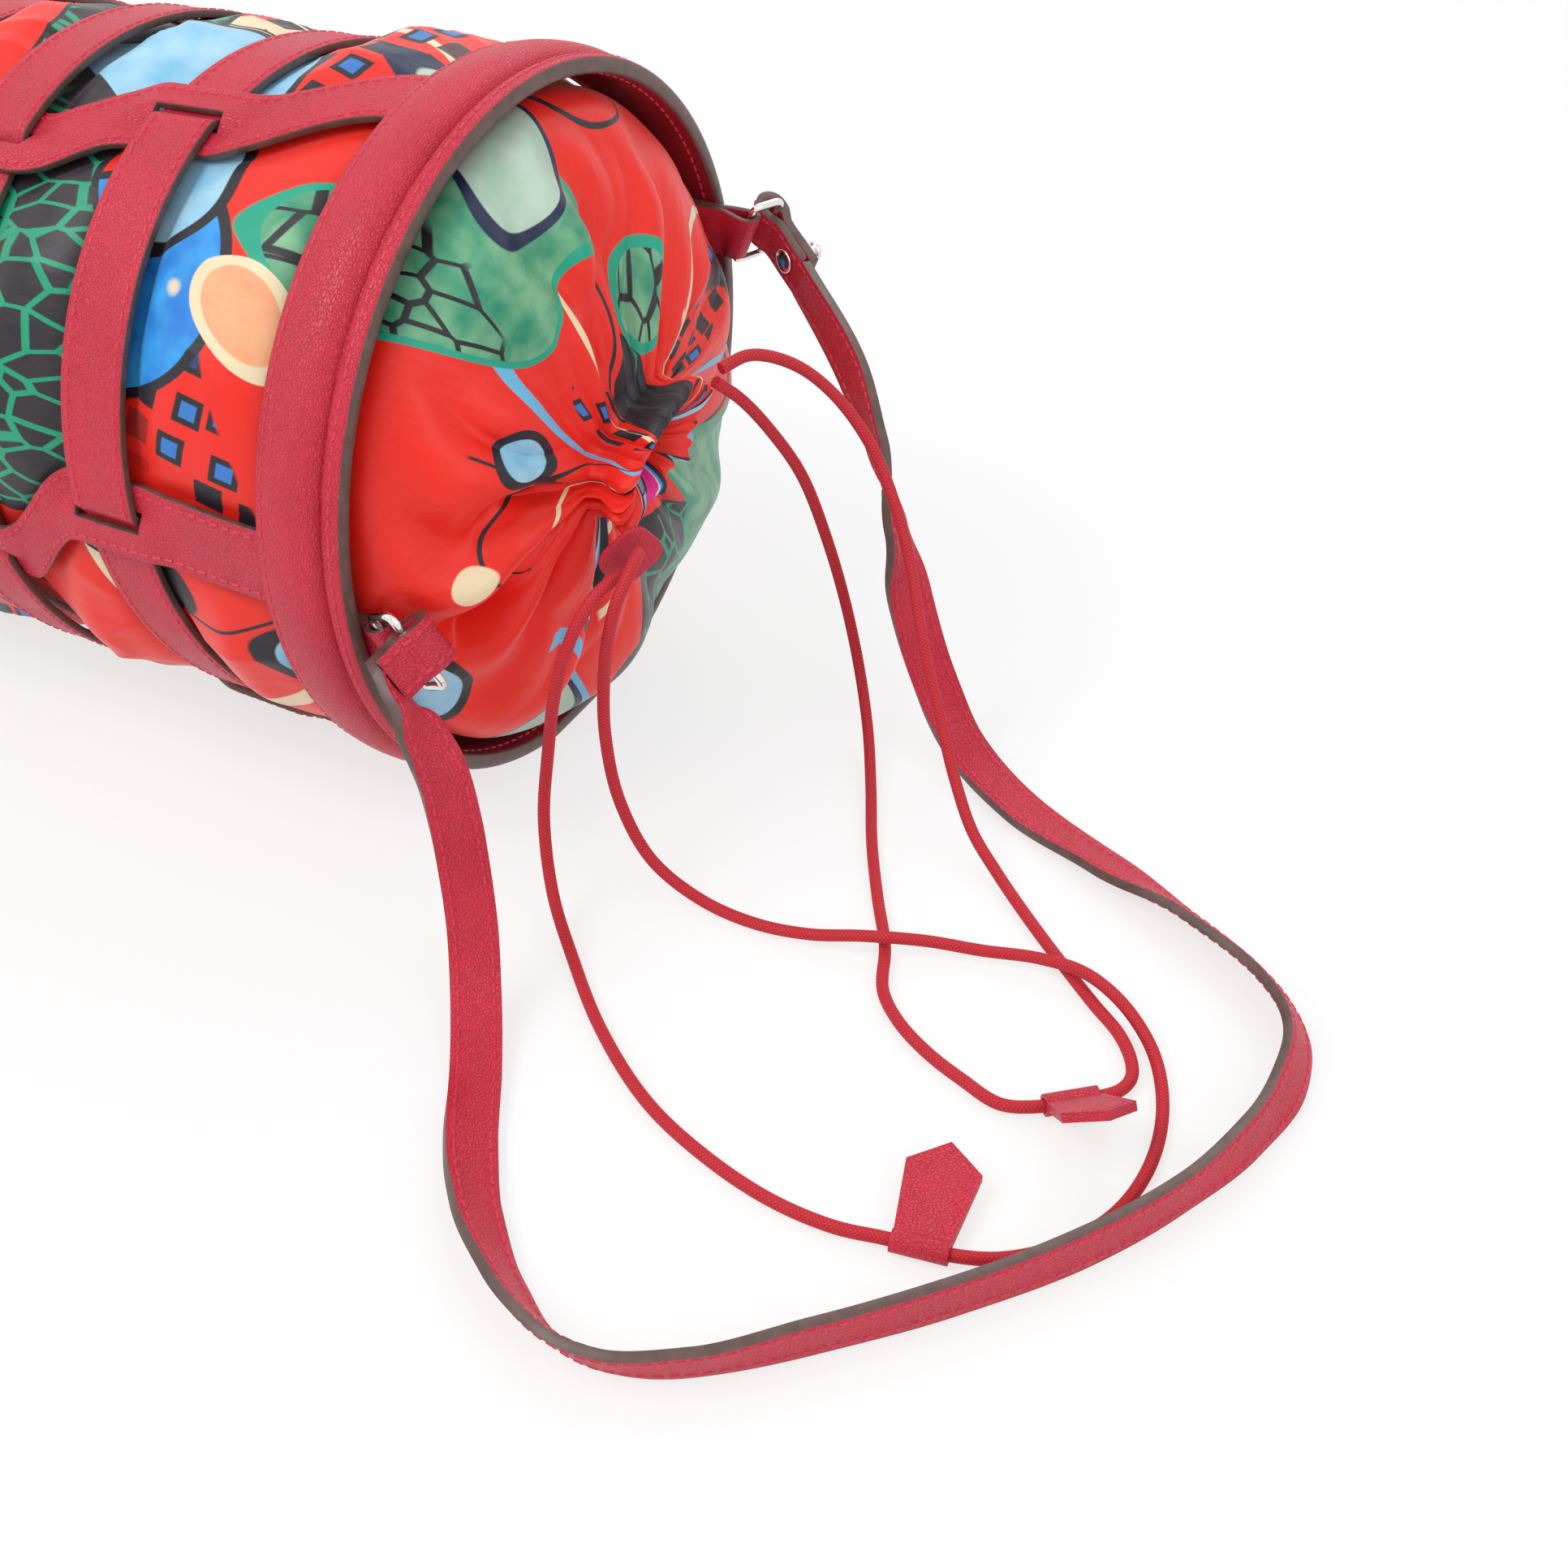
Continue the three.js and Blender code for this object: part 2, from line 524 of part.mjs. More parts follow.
function silkPouch() {
  const columns = silkColumns();
  const baseEnd = -CAGE_LENGTH + BASE_FLOOR_THICKNESS + FIT_GAP;
  const rings = [[new THREE.Vector3(baseEnd, 0, axisHeight(baseEnd))]];
  rings.push(bodyRing(columns, () => baseEnd, 0));
  rings.push(bodyRing(columns, () => -CAGE_LENGTH + BASE_WALL_HEIGHT, 0));
  const edge = BAND_WIDTH / 2 + 1;
  for (let hoop = HOOP_PLACES.length - 1; hoop >= 0; hoop -= 1) {
    rings.push(bodyRing(columns, (angle) => hoopCentre(hoop, angle) - edge, 0));
    rings.push(bodyRing(columns, (angle) => hoopCentre(hoop, angle) + edge, 0));
    const limit = (angle) => (hoop > 0 ? hoopCentre(hoop - 1, angle) - edge : -RIM_WIDTH - 1);
    for (const share of [0.25, 0.5, 0.75]) {
      const place = (angle) => lerp(hoopCentre(hoop, angle) + edge, limit(angle), share);
      rings.push(bodyRing(columns, place, Math.sin(Math.PI * share) ** 0.6));
    }
  }
  rings.push(bodyRing(columns, () => -RIM_WIDTH - 1, 0));
  rings.push(bodyRing(columns, (angle) => -TAB_TUCK - 2 - droop(angle), 0, LINING_INNER - SILK_RIM_GAP));
  for (const [degrees, pleat] of [[0, 0], [14, 0.1], [28, 0.3], [42, 0.5], [55, 0.7], [67, 0.9], [78, 1], [88, 1]]) {
    const blend = 1 - Math.cos(radians(degrees));
    const forward = -SILK_RIM_GAP + (DOME_HEIGHT + SILK_RIM_GAP) * Math.sin(radians(degrees));
    rings.push(domeRing(columns, blend, forward, pleat * PLEAT_DEPTH));
  }
  rings.push(neckRing(columns, 0.92, DOME_HEIGHT + 0.35 * RUFFLE_HEIGHT, 0.4));
  rings.push(neckRing(columns, 1.04, DOME_HEIGHT + 0.7 * RUFFLE_HEIGHT, 1));
  rings.push(neckRing(columns, 1.08, DOME_HEIGHT + RUFFLE_HEIGHT, 1));
  rings.push(neckRing(columns, 0.8, DOME_HEIGHT + RUFFLE_HEIGHT, 0.5));
  rings.push(neckRing(columns, 0.5, DOME_HEIGHT + 0.6 * RUFFLE_HEIGHT, 0));
  const floor = neckRing(columns, 0.001, DOME_HEIGHT + 0.45 * RUFFLE_HEIGHT, 0)[0];
  rings.push([floor]);
  return ringSolid(rings);
}

// A flat strap carried along points, with the direction across it given at each of them
function ribbon(points, acrosses, width, thickness) {
  const rings = points.map((point, i) => {
    const ahead = points[Math.min(i + 1, points.length - 1)];
    const behind = points[Math.max(i - 1, 0)];
    const along = new THREE.Vector3().subVectors(ahead, behind).normalize();
    const across = acrosses[i].clone().normalize();
    const up = new THREE.Vector3().crossVectors(along, across).normalize();
    return [[-1, -1], [1, -1], [1, 1], [-1, 1]].map(([side, face]) => point.clone()
      .addScaledVector(across, (side * width) / 2)
      .addScaledVector(up, (face * thickness) / 2));
  });
  return ringSolid(rings);
}

// A leather end folded round a bar: out along one side, round the bar and back
function foldPath({ tail, legGap, eyeRadius, eyeReach, crotch, free }) {
  const path = [[tail, legGap], [lerp(crotch, tail, 0.35), legGap], [crotch, legGap]];
  for (const share of [0.33, 0.66]) {
    path.push([lerp(crotch, -eyeReach, share), lerp(legGap, eyeRadius, smooth(share, 0, 0.66))]);
  }
  for (let degrees = 0; degrees <= 180; degrees += 30) {
    const angle = radians(degrees);
    path.push([-eyeReach - eyeRadius * Math.sin(angle), eyeRadius * Math.cos(angle)]);
  }
  for (const share of [0.66, 0.33]) {
    path.push([lerp(crotch, -eyeReach, share), -lerp(legGap, eyeRadius, smooth(share, 0, 0.66))]);
  }
  path.push([crotch, -legGap], [lerp(crotch, free, 0.5), -legGap], [free, -legGap]);
  return path;
}

function anchorFrame({ angle, cant, swing, outward, tabReach, tail }) {
  const out = new THREE.Vector3(0, Math.cos(radians(angle)), Math.sin(radians(angle)));
  const round = new THREE.Vector3(0, -Math.sin(radians(angle)), Math.cos(radians(angle)));
  const ahead = new THREE.Vector3(1, 0, 0);
  const across = round.clone().multiplyScalar(Math.cos(radians(cant))).addScaledVector(ahead, Math.sin(radians(cant)));
  const lead = ahead.clone().multiplyScalar(Math.cos(radians(cant))).addScaledVector(round, -Math.sin(radians(cant)));
  const reach = lead.clone().multiplyScalar(Math.cos(radians(swing))).addScaledVector(out, Math.sin(radians(swing)));
  const drop = lead.clone().multiplyScalar(-outward * Math.sin(radians(swing)))
    .addScaledVector(out, outward * Math.cos(radians(swing)));
  const tabGap = TAB_THICKNESS + FIT_GAP / 2;
  const innerRadius = cageRadius(0) + LINING_INNER;
  const flatness = innerRadius - Math.sqrt(innerRadius ** 2 - (TAB_WIDTH / 2) ** 2);
  const taper = cageRadius(0) - cageRadius(-TAB_TUCK);
  const rise = LINING_INNER - flatness - taper - FIT_GAP - tabGap;
  const hinge = cagePoint(0, angle, rise).setX(tabReach);
  const span = RING_INNER_WIDTH + 2 * RING_WIRE_RADIUS;
  const farBar = hinge.clone().addScaledVector(reach, span);
  return { angle, round, across, reach, drop, rise, hinge, span, farBar, tail };
}

function strapTab(frame) {
  const legGap = (TAB_THICKNESS + FIT_GAP) / 2;
  const eyeRadius = RING_WIRE_RADIUS + RING_GAP + TAB_THICKNESS / 2;
  const length = frame.hinge.x + TAB_TUCK;
  const crotch = frame.hinge.x - TAB_CROTCH;
  const path = foldPath({ tail: length, legGap, eyeRadius, eyeReach: 0, crotch, free: length });
  const points = path.map(([back, rise]) => {
    const point = cagePoint(0, frame.angle, frame.rise + rise);
    return point.setX(frame.hinge.x - back);
  });
  const acrosses = path.map(([back]) => frame.round.clone().lerp(frame.across, 1 - smooth(back, 2, 8)));
  return ribbon(points, acrosses, TAB_WIDTH, TAB_THICKNESS);
}

function ringWire(frame) {
  const halfLength = (RING_INNER_LENGTH + 2 * RING_WIRE_RADIUS) / 2;
  const radius = RING_CORNER_RADIUS;
  const corners = [[halfLength, 0, 0], [halfLength, 1, 90], [-halfLength, 1, 180], [-halfLength, 0, 270]];
  const outline = [];
  for (const [end, far, start] of corners) {
    const centre = [end - Math.sign(end) * radius, far ? frame.span - radius : radius];
    for (let degrees = 0; degrees <= 90; degrees += 30) {
      const angle = radians(start - 90 + degrees);
      outline.push([centre[0] + radius * Math.cos(angle), centre[1] + radius * Math.sin(angle)]);
    }
  }
  const place = ([along, out]) => frame.hinge.clone()
    .addScaledVector(frame.across, along).addScaledVector(frame.reach, out);
  const normal = new THREE.Vector3().crossVectors(frame.across, frame.reach).normalize();
  const points = outline.map(place);
  const rings = points.map((point, i) => {
    const ahead = points[(i + 1) % points.length];
    const behind = points[(i + points.length - 1) % points.length];
    const along = new THREE.Vector3().subVectors(ahead, behind).normalize();
    const side = new THREE.Vector3().crossVectors(along, normal).normalize();
    return Array.from({ length: 8 }, (_, corner) => {
      const angle = (Math.PI * corner) / 4;
      return point.clone()
        .addScaledVector(side, RING_WIRE_RADIUS * Math.cos(angle))
        .addScaledVector(normal, RING_WIRE_RADIUS * Math.sin(angle));
    });
  });
  return ringSolid(rings, true);
}

const STRAP_LEG_GAP = (STRAP_THICKNESS + FIT_GAP) / 2;

function strapEnd(frame) {
  const path = foldPath({
    tail: frame.tail,
    legGap: STRAP_LEG_GAP,
    eyeRadius: RING_WIRE_RADIUS + EYE_CLEARANCE + STRAP_THICKNESS / 2,
    eyeReach: EYE_PLAY,
    crotch: EYE_CROTCH,
    free: frame.tail,
  });
  return path.map(([along, out]) => frame.farBar.clone()
    .addScaledVector(frame.drop, along).addScaledVector(frame.reach, out));
}

function shoulderStrap(right, left) {
  const leftEnd = strapEnd(left);
  const rightEnd = strapEnd(right).reverse();
  const curve = new THREE.CatmullRomCurve3(
    [leftEnd.at(-1), ...STRAP_ROUTE.map((row) => vector(row.slice(0, 3))), rightEnd[0]], false, 'centripetal');
  const leftAcross = left.across.clone().negate();
  const turns = [leftAcross, ...STRAP_ROUTE.map((row) => vector(row.slice(3)).normalize()), right.across.clone()];
  const points = [...leftEnd];
  const acrosses = leftEnd.map(() => leftAcross.clone());
  for (let step = 1; step < STRAP_STATIONS; step += 1) {
    const share = curve.getUtoTmapping(step / STRAP_STATIONS);
    const place = share * (turns.length - 1);
    const span = Math.min(Math.floor(place), turns.length - 2);
    points.push(curve.getPoint(share));
    const across = turns[span].clone().lerp(turns[span + 1], smooth(place - span, 0, 1));
    const along = curve.getTangent(share);
    acrosses.push(across.addScaledVector(along, -across.dot(along)).normalize());
  }
  points.push(...rightEnd);
  rightEnd.forEach(() => acrosses.push(right.across.clone()));
  const hole = new THREE.CylinderGeometry(STUD_POST_RADIUS + FIT_GAP, STUD_POST_RADIUS + FIT_GAP, 30, 12);
  return cut(ribbon(points, acrosses, STRAP_WIDTH, STRAP_THICKNESS), [hole.applyMatrix4(studMatrix(right))]);
}

// Places a piece whose own Y runs out through the strap's two layers at the stud
function studMatrix(frame) {
  const third = new THREE.Vector3().crossVectors(frame.drop, frame.reach);
  const matrix = new THREE.Matrix4().makeBasis(frame.drop, frame.reach, third);
  const place = frame.farBar.clone().addScaledVector(frame.drop, STUD_PLACE);
  return matrix.setPosition(place);
}

const STACK_HALF = STRAP_LEG_GAP + STRAP_THICKNESS / 2;

function stud(frame) {
  const seat = STACK_HALF + FIT_GAP + PLATE_THICKNESS + FIT_GAP;
  const foot = -STACK_HALF - FIT_GAP;
  const neck = STUD_POST_RADIUS;
  const head = STUD_HEAD_RADIUS;
  const top = seat + STUD_HEAD_HEIGHT;
  const profile = [
    [0, foot - STUD_FLANGE_THICKNESS], [STUD_FLANGE_RADIUS, foot - STUD_FLANGE_THICKNESS],
    [STUD_FLANGE_RADIUS, foot], [neck, foot], [neck, seat], [head, seat], [neck + 0.4, seat + 1.4],
    [neck + 0.4, seat + 2.4], [head, seat + 3.2], [head - 0.8, top], [0, top],
  ];
  const geometry = new THREE.LatheGeometry(profile.map(([r, y]) => new THREE.Vector2(r, y)), 12);
  return geometryOf(solidOf(geometry.applyMatrix4(studMatrix(frame))));
}

function roundedRectangle(width, height, radius) {
  const shape = new THREE.Shape();
  const x = width / 2;
  const y = height / 2;
  shape.moveTo(-x + radius, -y);
  shape.lineTo(x - radius, -y);
  shape.absarc(x - radius, -y + radius, radius, -Math.PI / 2, 0);
  shape.lineTo(x, y - radius);
  shape.absarc(x - radius, y - radius, radius, 0, Math.PI / 2);
  shape.lineTo(-x + radius, y);
  shape.absarc(-x + radius, y - radius, radius, Math.PI / 2, Math.PI);
  shape.lineTo(-x, -y + radius);
  shape.absarc(-x + radius, -y + radius, radius, Math.PI, 1.5 * Math.PI);
  return shape;
}

function studPlate(frame) {
  const shape = roundedRectangle(PLATE_LENGTH, PLATE_WIDTH, PLATE_CORNER);
  const hole = new THREE.Path();
  hole.absarc(0, 0, STUD_POST_RADIUS + FIT_GAP, 0, 2 * Math.PI, true);
  shape.holes.push(hole);
  const options = { depth: PLATE_THICKNESS, bevelEnabled: false, curveSegments: 3 };
  const geometry = new THREE.ExtrudeGeometry(shape, options);
  geometry.rotateX(-Math.PI / 2);
  geometry.translate(0, STACK_HALF + FIT_GAP, 0);
  return geometryOf(solidOf(geometry.applyMatrix4(studMatrix(frame))));
}

function cordTube(route) {
  const curve = new THREE.CatmullRomCurve3(route.map(vector), false, 'centripetal');
  const section = new THREE.Shape();
  for (let side = 0; side < CORD_SIDES; side += 1) {
    const angle = (2 * Math.PI * (side + 0.5)) / CORD_SIDES;
    const corner = [CORD_RADIUS * Math.cos(angle), CORD_RADIUS * Math.sin(angle)];
    if (side === 0) section.moveTo(...corner);
    else section.lineTo(...corner);
  }
  section.closePath();
  const steps = Math.round(curve.getLength() / CORD_STEP);
  return geometryOf(solidOf(new THREE.ExtrudeGeometry(section, { steps, extrudePath: curve, bevelEnabled: false })));
}

// Two layers of leather folded round the cord, cut to a point at the far end
function pullTab({ at, along, fin }) {
  const size = PULL_TAB;
  const bore = CORD_RADIUS + FIT_GAP;
  const section = new THREE.Shape();
  section.absarc(0, 0, bore + PULL_TAB_WALL, 0, 2 * Math.PI);
  const wrap = new THREE.ExtrudeGeometry(section, { depth: size.wrap, bevelEnabled: false, curveSegments: 8 });
  wrap.translate(0, 0, -size.wrap / 2);
  const blade = new THREE.Shape();
  const root = bore + PULL_TAB_WALL / 2;
  blade.moveTo(-size.wrap / 2, root);
  blade.lineTo(size.wrap / 2, root);
  blade.lineTo(size.shoulder / 2, size.reach);
  blade.lineTo(0, size.point);
  blade.lineTo(-size.shoulder / 2, size.reach);
  blade.closePath();
  const plate = new THREE.ExtrudeGeometry(blade, { depth: size.thickness, bevelEnabled: false });
  plate.translate(0, 0, -size.thickness / 2);
  plate.rotateY(Math.PI / 2);
  const channel = new THREE.CylinderGeometry(bore, bore, 2 * size.wrap, 16).rotateX(Math.PI / 2);
  const solid = solidOf(wrap).add(solidOf(plate)).subtract(solidOf(channel));
  const axis = vector(along).normalize();
  const side = vector(fin);
  side.addScaledVector(axis, -side.dot(axis)).normalize();
  const matrix = new THREE.Matrix4().makeBasis(new THREE.Vector3().crossVectors(side, axis), side, axis);
  return geometryOf(solid).applyMatrix4(matrix.setPosition(vector(at)));
}

function exitPatch() {
  const shape = roundedRectangle(PATCH.width, PATCH.height, PATCH.round);
  const options = { depth: PATCH.thickness, bevelEnabled: false, curveSegments: 3 };
  const geometry = new THREE.ExtrudeGeometry(shape, options);
  const facing = vector(PATCH_FACING).normalize();
  const matrix = new THREE.Matrix4().makeRotationFromQuaternion(
    new THREE.Quaternion().setFromUnitVectors(new THREE.Vector3(0, 0, 1), facing));
  return geometryOf(solidOf(geometry.applyMatrix4(matrix.setPosition(vector(PATCH_PLACE)))));
}

addPiece('silk_pouch', silkPouch(), silk);
addPiece('rim_band', rimBand(), leather);
addPiece('rim_lining', rimLining(), liningLeather);
addPiece('base_cup', baseCup(), leather);
['hoop_front', 'hoop_middle', 'hoop_rear'].forEach((name, hoop) => addPiece(name, hoopBand(hoop), leather));
STRAP_ANGLES.forEach((_, strap) => addPiece(`cage_strap_${strap + 1}`, lengthwiseStrap(strap), leather));

const frames = { right: anchorFrame(ANCHORS.right), left: anchorFrame(ANCHORS.left) };
for (const [side, frame] of Object.entries(frames)) {
  addPiece(`strap_tab_${side}`, strapTab(frame), leather);
  addPiece(`strap_ring_${side}`, ringWire(frame), metal);
}
addPiece('stud', stud(frames.right), metal);
addPiece('stud_plate', studPlate(frames.right), metal);
addPiece('shoulder_strap', shoulderStrap(frames.right, frames.left), leather);
addPiece('exit_patch', exitPatch(), leather);
const cordNodes = [
  addPiece('drawcord_right', cordTube(CORD_RIGHT_ROUTE), cordYarn),
  addPiece('drawcord_left', cordTube(CORD_LEFT_ROUTE), cordYarn),
  addPiece('pull_tab_right', pullTab(PULL_TAB_RIGHT), leather),
  addPiece('pull_tab_left', pullTab(PULL_TAB_LEFT), leather),
];

const bounds = new THREE.Box3();
bag.children.filter((mesh) => !cordNodes.includes(mesh)).forEach((mesh) => bounds.expandByObject(mesh, true));
const centre = bounds.getCenter(new THREE.Vector3());
bag.children.forEach((mesh) => mesh.position.set(-centre.x, -centre.y, -bounds.min.z));

export default bag;
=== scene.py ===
"""A drawstring pouch of printed silk inside a woven leather cage, lying on its side.

Lengths are metres and angles are degrees. Shapes are worked out in the bag's own frame,
where the mouth plane is x = 0, the axis runs along X and the floor is z = 0. Mouth.place
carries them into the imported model's frame.
"""

import logging
import math
from dataclasses import dataclass, field
from enum import Enum

import bmesh
import bpy
import numpy as np
from mathutils import Matrix, Vector


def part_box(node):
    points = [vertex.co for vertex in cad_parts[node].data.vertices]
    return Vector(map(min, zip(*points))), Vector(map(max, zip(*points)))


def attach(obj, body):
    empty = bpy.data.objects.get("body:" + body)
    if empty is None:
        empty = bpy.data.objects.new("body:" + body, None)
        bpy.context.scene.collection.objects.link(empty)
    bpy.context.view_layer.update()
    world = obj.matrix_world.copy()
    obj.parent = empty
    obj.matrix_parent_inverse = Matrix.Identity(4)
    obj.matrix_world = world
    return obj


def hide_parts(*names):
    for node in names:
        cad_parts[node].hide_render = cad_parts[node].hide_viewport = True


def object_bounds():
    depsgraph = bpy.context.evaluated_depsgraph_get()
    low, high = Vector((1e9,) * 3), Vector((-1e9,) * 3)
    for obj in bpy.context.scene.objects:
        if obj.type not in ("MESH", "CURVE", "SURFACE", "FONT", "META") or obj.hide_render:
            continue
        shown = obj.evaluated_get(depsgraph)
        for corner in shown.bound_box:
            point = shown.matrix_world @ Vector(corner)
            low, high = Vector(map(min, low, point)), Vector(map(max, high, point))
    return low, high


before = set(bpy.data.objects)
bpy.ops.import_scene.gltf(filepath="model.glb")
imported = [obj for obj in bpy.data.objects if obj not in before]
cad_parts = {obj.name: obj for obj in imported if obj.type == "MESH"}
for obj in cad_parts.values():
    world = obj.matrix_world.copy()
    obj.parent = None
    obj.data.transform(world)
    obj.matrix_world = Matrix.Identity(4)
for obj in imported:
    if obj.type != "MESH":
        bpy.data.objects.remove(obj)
CAD_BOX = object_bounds()

Array = np.ndarray
LOG = logging.getLogger("pouch")
MM = 0.001
LINING_FACE = -3.2 * MM
FINE_TURN = np.linspace(0, 360, 721)


def unit(vectors: Array) -> Array:
    """Scales each vector of the last axis to length one."""
    return vectors / np.linalg.norm(vectors, axis=-1, keepdims=True)


def ease(value: Array, start: float | Array, end: float | Array) -> Array:
    """Rises from 0 at start to 1 at end along 3t^2 - 2t^3."""
    t = np.clip((value - start) / (end - start), 0.0, 1.0)
    return t * t * (3 - 2 * t)


def mix(a: float | Array, b: float | Array, share: float | Array) -> Array:
    """Goes in a straight line from a at share 0 to b at share 1."""
    return a + (b - a) * share


def linear(red: int, green: int, blue: int) -> tuple[float, float, float, float]:
    """Turns a screen colour from 0 to 255 into the linear colour that shaders take."""
    screen = np.array([red, green, blue]) / 255
    value = np.where(screen <= 0.04045, screen / 12.92, ((screen + 0.055) / 1.055) ** 2.4)
    return (*(float(channel) for channel in value), 1.0)


def curve_through(points: Array, per_span: int = 12) -> tuple[Array, Array]:
    """Draws a smooth curve through points.

    Each span is a cubic whose end slopes come from its neighbours, weighted by the
    square root of the distances between points (a centripetal Catmull-Rom spline).

    Args:
        points: The points, one row each.
        per_span: Samples on each span.

    Returns:
        The samples, and for each the place along the rows of points.
    """
    p = np.vstack([2 * points[0] - points[1], points, 2 * points[-1] - points[-2]])
    a, b, c, d = p[:-3], p[1:-2], p[2:-1], p[3:]
    ab, bc, cd = (np.linalg.norm(q - r, axis=1, keepdims=True) ** 0.5 for q, r in ((b, a), (c, b), (d, c)))
    leave = ((b - a) / ab - (c - a) / (ab + bc) + (c - b) / bc) * bc
    arrive = ((c - b) / bc - (d - b) / (bc + cd) + (d - c) / cd) * bc
    t = np.linspace(0, 1, per_span, endpoint=False)[:, None, None]
    curve = (2 * t**3 - 3 * t**2 + 1) * b + (t**3 - 2 * t**2 + t) * leave
    curve = curve + (3 * t**2 - 2 * t**3) * c + (t**3 - t**2) * arrive
    samples = curve.transpose(1, 0, 2).reshape(-1, points.shape[1])
    places = np.arange(len(points) - 1)[:, None] + t[:, 0, 0]
    return np.vstack([samples, points[-1]]), np.append(places.ravel(), len(points) - 1.0)


def run_length(points: Array) -> Array:
    """Gives the length along a line of points, from its start to each of them."""
    return np.concatenate([[0.0], np.cumsum(np.linalg.norm(np.diff(points, axis=0), axis=1))])


def evenly(points: Array, spacing: float) -> Array:
    """Samples a line of points again, at an even spacing along its length."""
    along = run_length(points)
    stations = np.linspace(0, along[-1], max(2, round(along[-1] / spacing) + 1))
    return np.stack([np.interp(stations, along, column) for column in points.T], axis=1)


def sampled(values: Array, along: Array, places: Array) -> Array:
    """Reads rows of values, given at lengths along a line, at other places on it."""
    return np.stack([np.interp(places, along, column) for column in values.T], axis=1)


def headings(points: Array) -> Array:
    """Gives the unit direction of a line at each of its points."""
    return unit(np.gradient(points, axis=0))


def waves(place: Array, seed: int, count: int, longest: float) -> Array:
    """Adds up smooth waves of random direction, between about -1 and 1.

    Each wave's height is the cosine of the place along a random direction, and each is
    shorter than the one before.

    Args:
        place: Points of two or three numbers in the last axis.
        seed: Start of the random row.
        count: Number of waves.
        longest: Length of the longest wave.

    Returns:
        One height for each point.
    """
    row = np.random.default_rng(seed)
    total = np.zeros(place.shape[:-1])
    for step in range(count):
        heading = unit(row.normal(size=place.shape[-1]))
        length = longest * 0.72**step
        total += np.cos(place @ heading * (2 * np.pi / length) + row.uniform(0, 2 * np.pi))
    return total / math.sqrt(count)


class Mouth:
    """The bag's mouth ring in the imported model, which everything is placed from."""

    low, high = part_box("rim_band")
    centre = np.array([high.x, (low.y + high.y) / 2, low.z])

    @classmethod
    def place(cls, points: Array) -> Array:
        """Carries points from the bag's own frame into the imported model's."""
        return points + cls.centre


@dataclass
class Surface:
    """A piece's mesh, drawn as quads over grids of points that are welded at their seams."""

    name: str
    materials: list
    points: list = field(default_factory=list)
    faces: list = field(default_factory=list)
    maps: list = field(default_factory=list)
    slots: list = field(default_factory=list)
    count: int = 0

    def grid(self, points: Array, lay: Array | None = None, keep: Array | None = None,
             slot: Array | int = 0) -> "Surface":
        """Adds a grid of points, with a face between each four neighbours.

        Args:
            points: Rows by columns of points in the bag's frame.
            lay: Rows by columns of the two numbers that the material reads, in metres.
            keep: Which faces stay, rows by columns less one each.
            slot: The material of each face.

        Returns:
            This surface.
        """
        rows, columns = points.shape[:2]
        corner = np.arange((rows - 1) * columns).reshape(rows - 1, columns)[:, :-1]
        quads = np.stack([corner, corner + 1, corner + columns + 1, corner + columns], axis=-1)
        chosen = np.ones(quads.shape[:2], bool) if keep is None else keep
        quads = quads[chosen]
        self.points.append(points.reshape(-1, 3))
        self.faces.append(quads + self.count)
        if lay is None:
            lay = np.zeros((rows, columns, 2))
        self.maps.append(lay.reshape(-1, 2)[quads])
        self.slots.append(np.broadcast_to(slot, chosen.shape)[chosen])
        self.count += rows * columns
        return self

    def build(self, solid: bool = True, weld: float = 1e-6, sharp: float = 50.0) -> bpy.types.Object:
        """Makes the object, with its place in its mesh and its faces pointing out.

        Args:
            solid: Whether the surface encloses a body.
            weld: Distance under which points are joined.
            sharp: Angle over which an edge is shaded sharp.

        Returns:
            The object.
        """
        points = Mouth.place(np.concatenate(self.points))
        faces = np.concatenate(self.faces)
        corners = points[faces]
        volume = np.einsum("ij,ij->", corners[:, 0], np.cross(corners[:, 1], corners[:, 2]))
        volume += np.einsum("ij,ij->", corners[:, 0], np.cross(corners[:, 2], corners[:, 3]))
        lay = np.concatenate(self.maps)
        if solid and volume < 0:
            faces, lay = faces[:, ::-1], lay[:, ::-1]
        mesh = bpy.data.meshes.new(self.name)
        mesh.vertices.add(len(points))
        mesh.vertices.foreach_set("co", points.astype(np.float32).ravel())
        mesh.loops.add(faces.size)
        mesh.loops.foreach_set("vertex_index", faces.astype(np.int32).ravel())
        mesh.polygons.add(len(faces))
        mesh.polygons.foreach_set("loop_start", np.arange(0, faces.size, 4, dtype=np.int32))
        mesh.polygons.foreach_set("material_index", np.concatenate(self.slots).astype(np.int32))
        mesh.uv_layers.new(name="lay").data.foreach_set("uv", lay.astype(np.float32).ravel())
        mesh.update(calc_edges=True)
        weld_mesh(mesh, weld)
        for material in self.materials:
            mesh.materials.append(material)
        return as_object(self.name, mesh, sharp)


def weld_mesh(mesh: bpy.types.Mesh, distance: float, flatten: float = 0.0) -> None:
    """Joins points that are closer than a distance, and flat neighbours if asked.

    Args:
        mesh: The mesh, changed in place.
        distance: Distance in metres.
        flatten: Faces that meet at less than this angle become one, in degrees.
    """
    cloth = bmesh.new()
    cloth.from_mesh(mesh)
    bmesh.ops.remove_doubles(cloth, verts=cloth.verts, dist=distance)
    if flatten:
        limit = math.radians(flatten)
        bmesh.ops.dissolve_limit(cloth, angle_limit=limit, verts=cloth.verts, edges=cloth.edges)
    loose = [vert for vert in cloth.verts if not vert.link_faces]
    bmesh.ops.delete(cloth, geom=loose, context="VERTS")
    cloth.to_mesh(mesh)
    cloth.free()


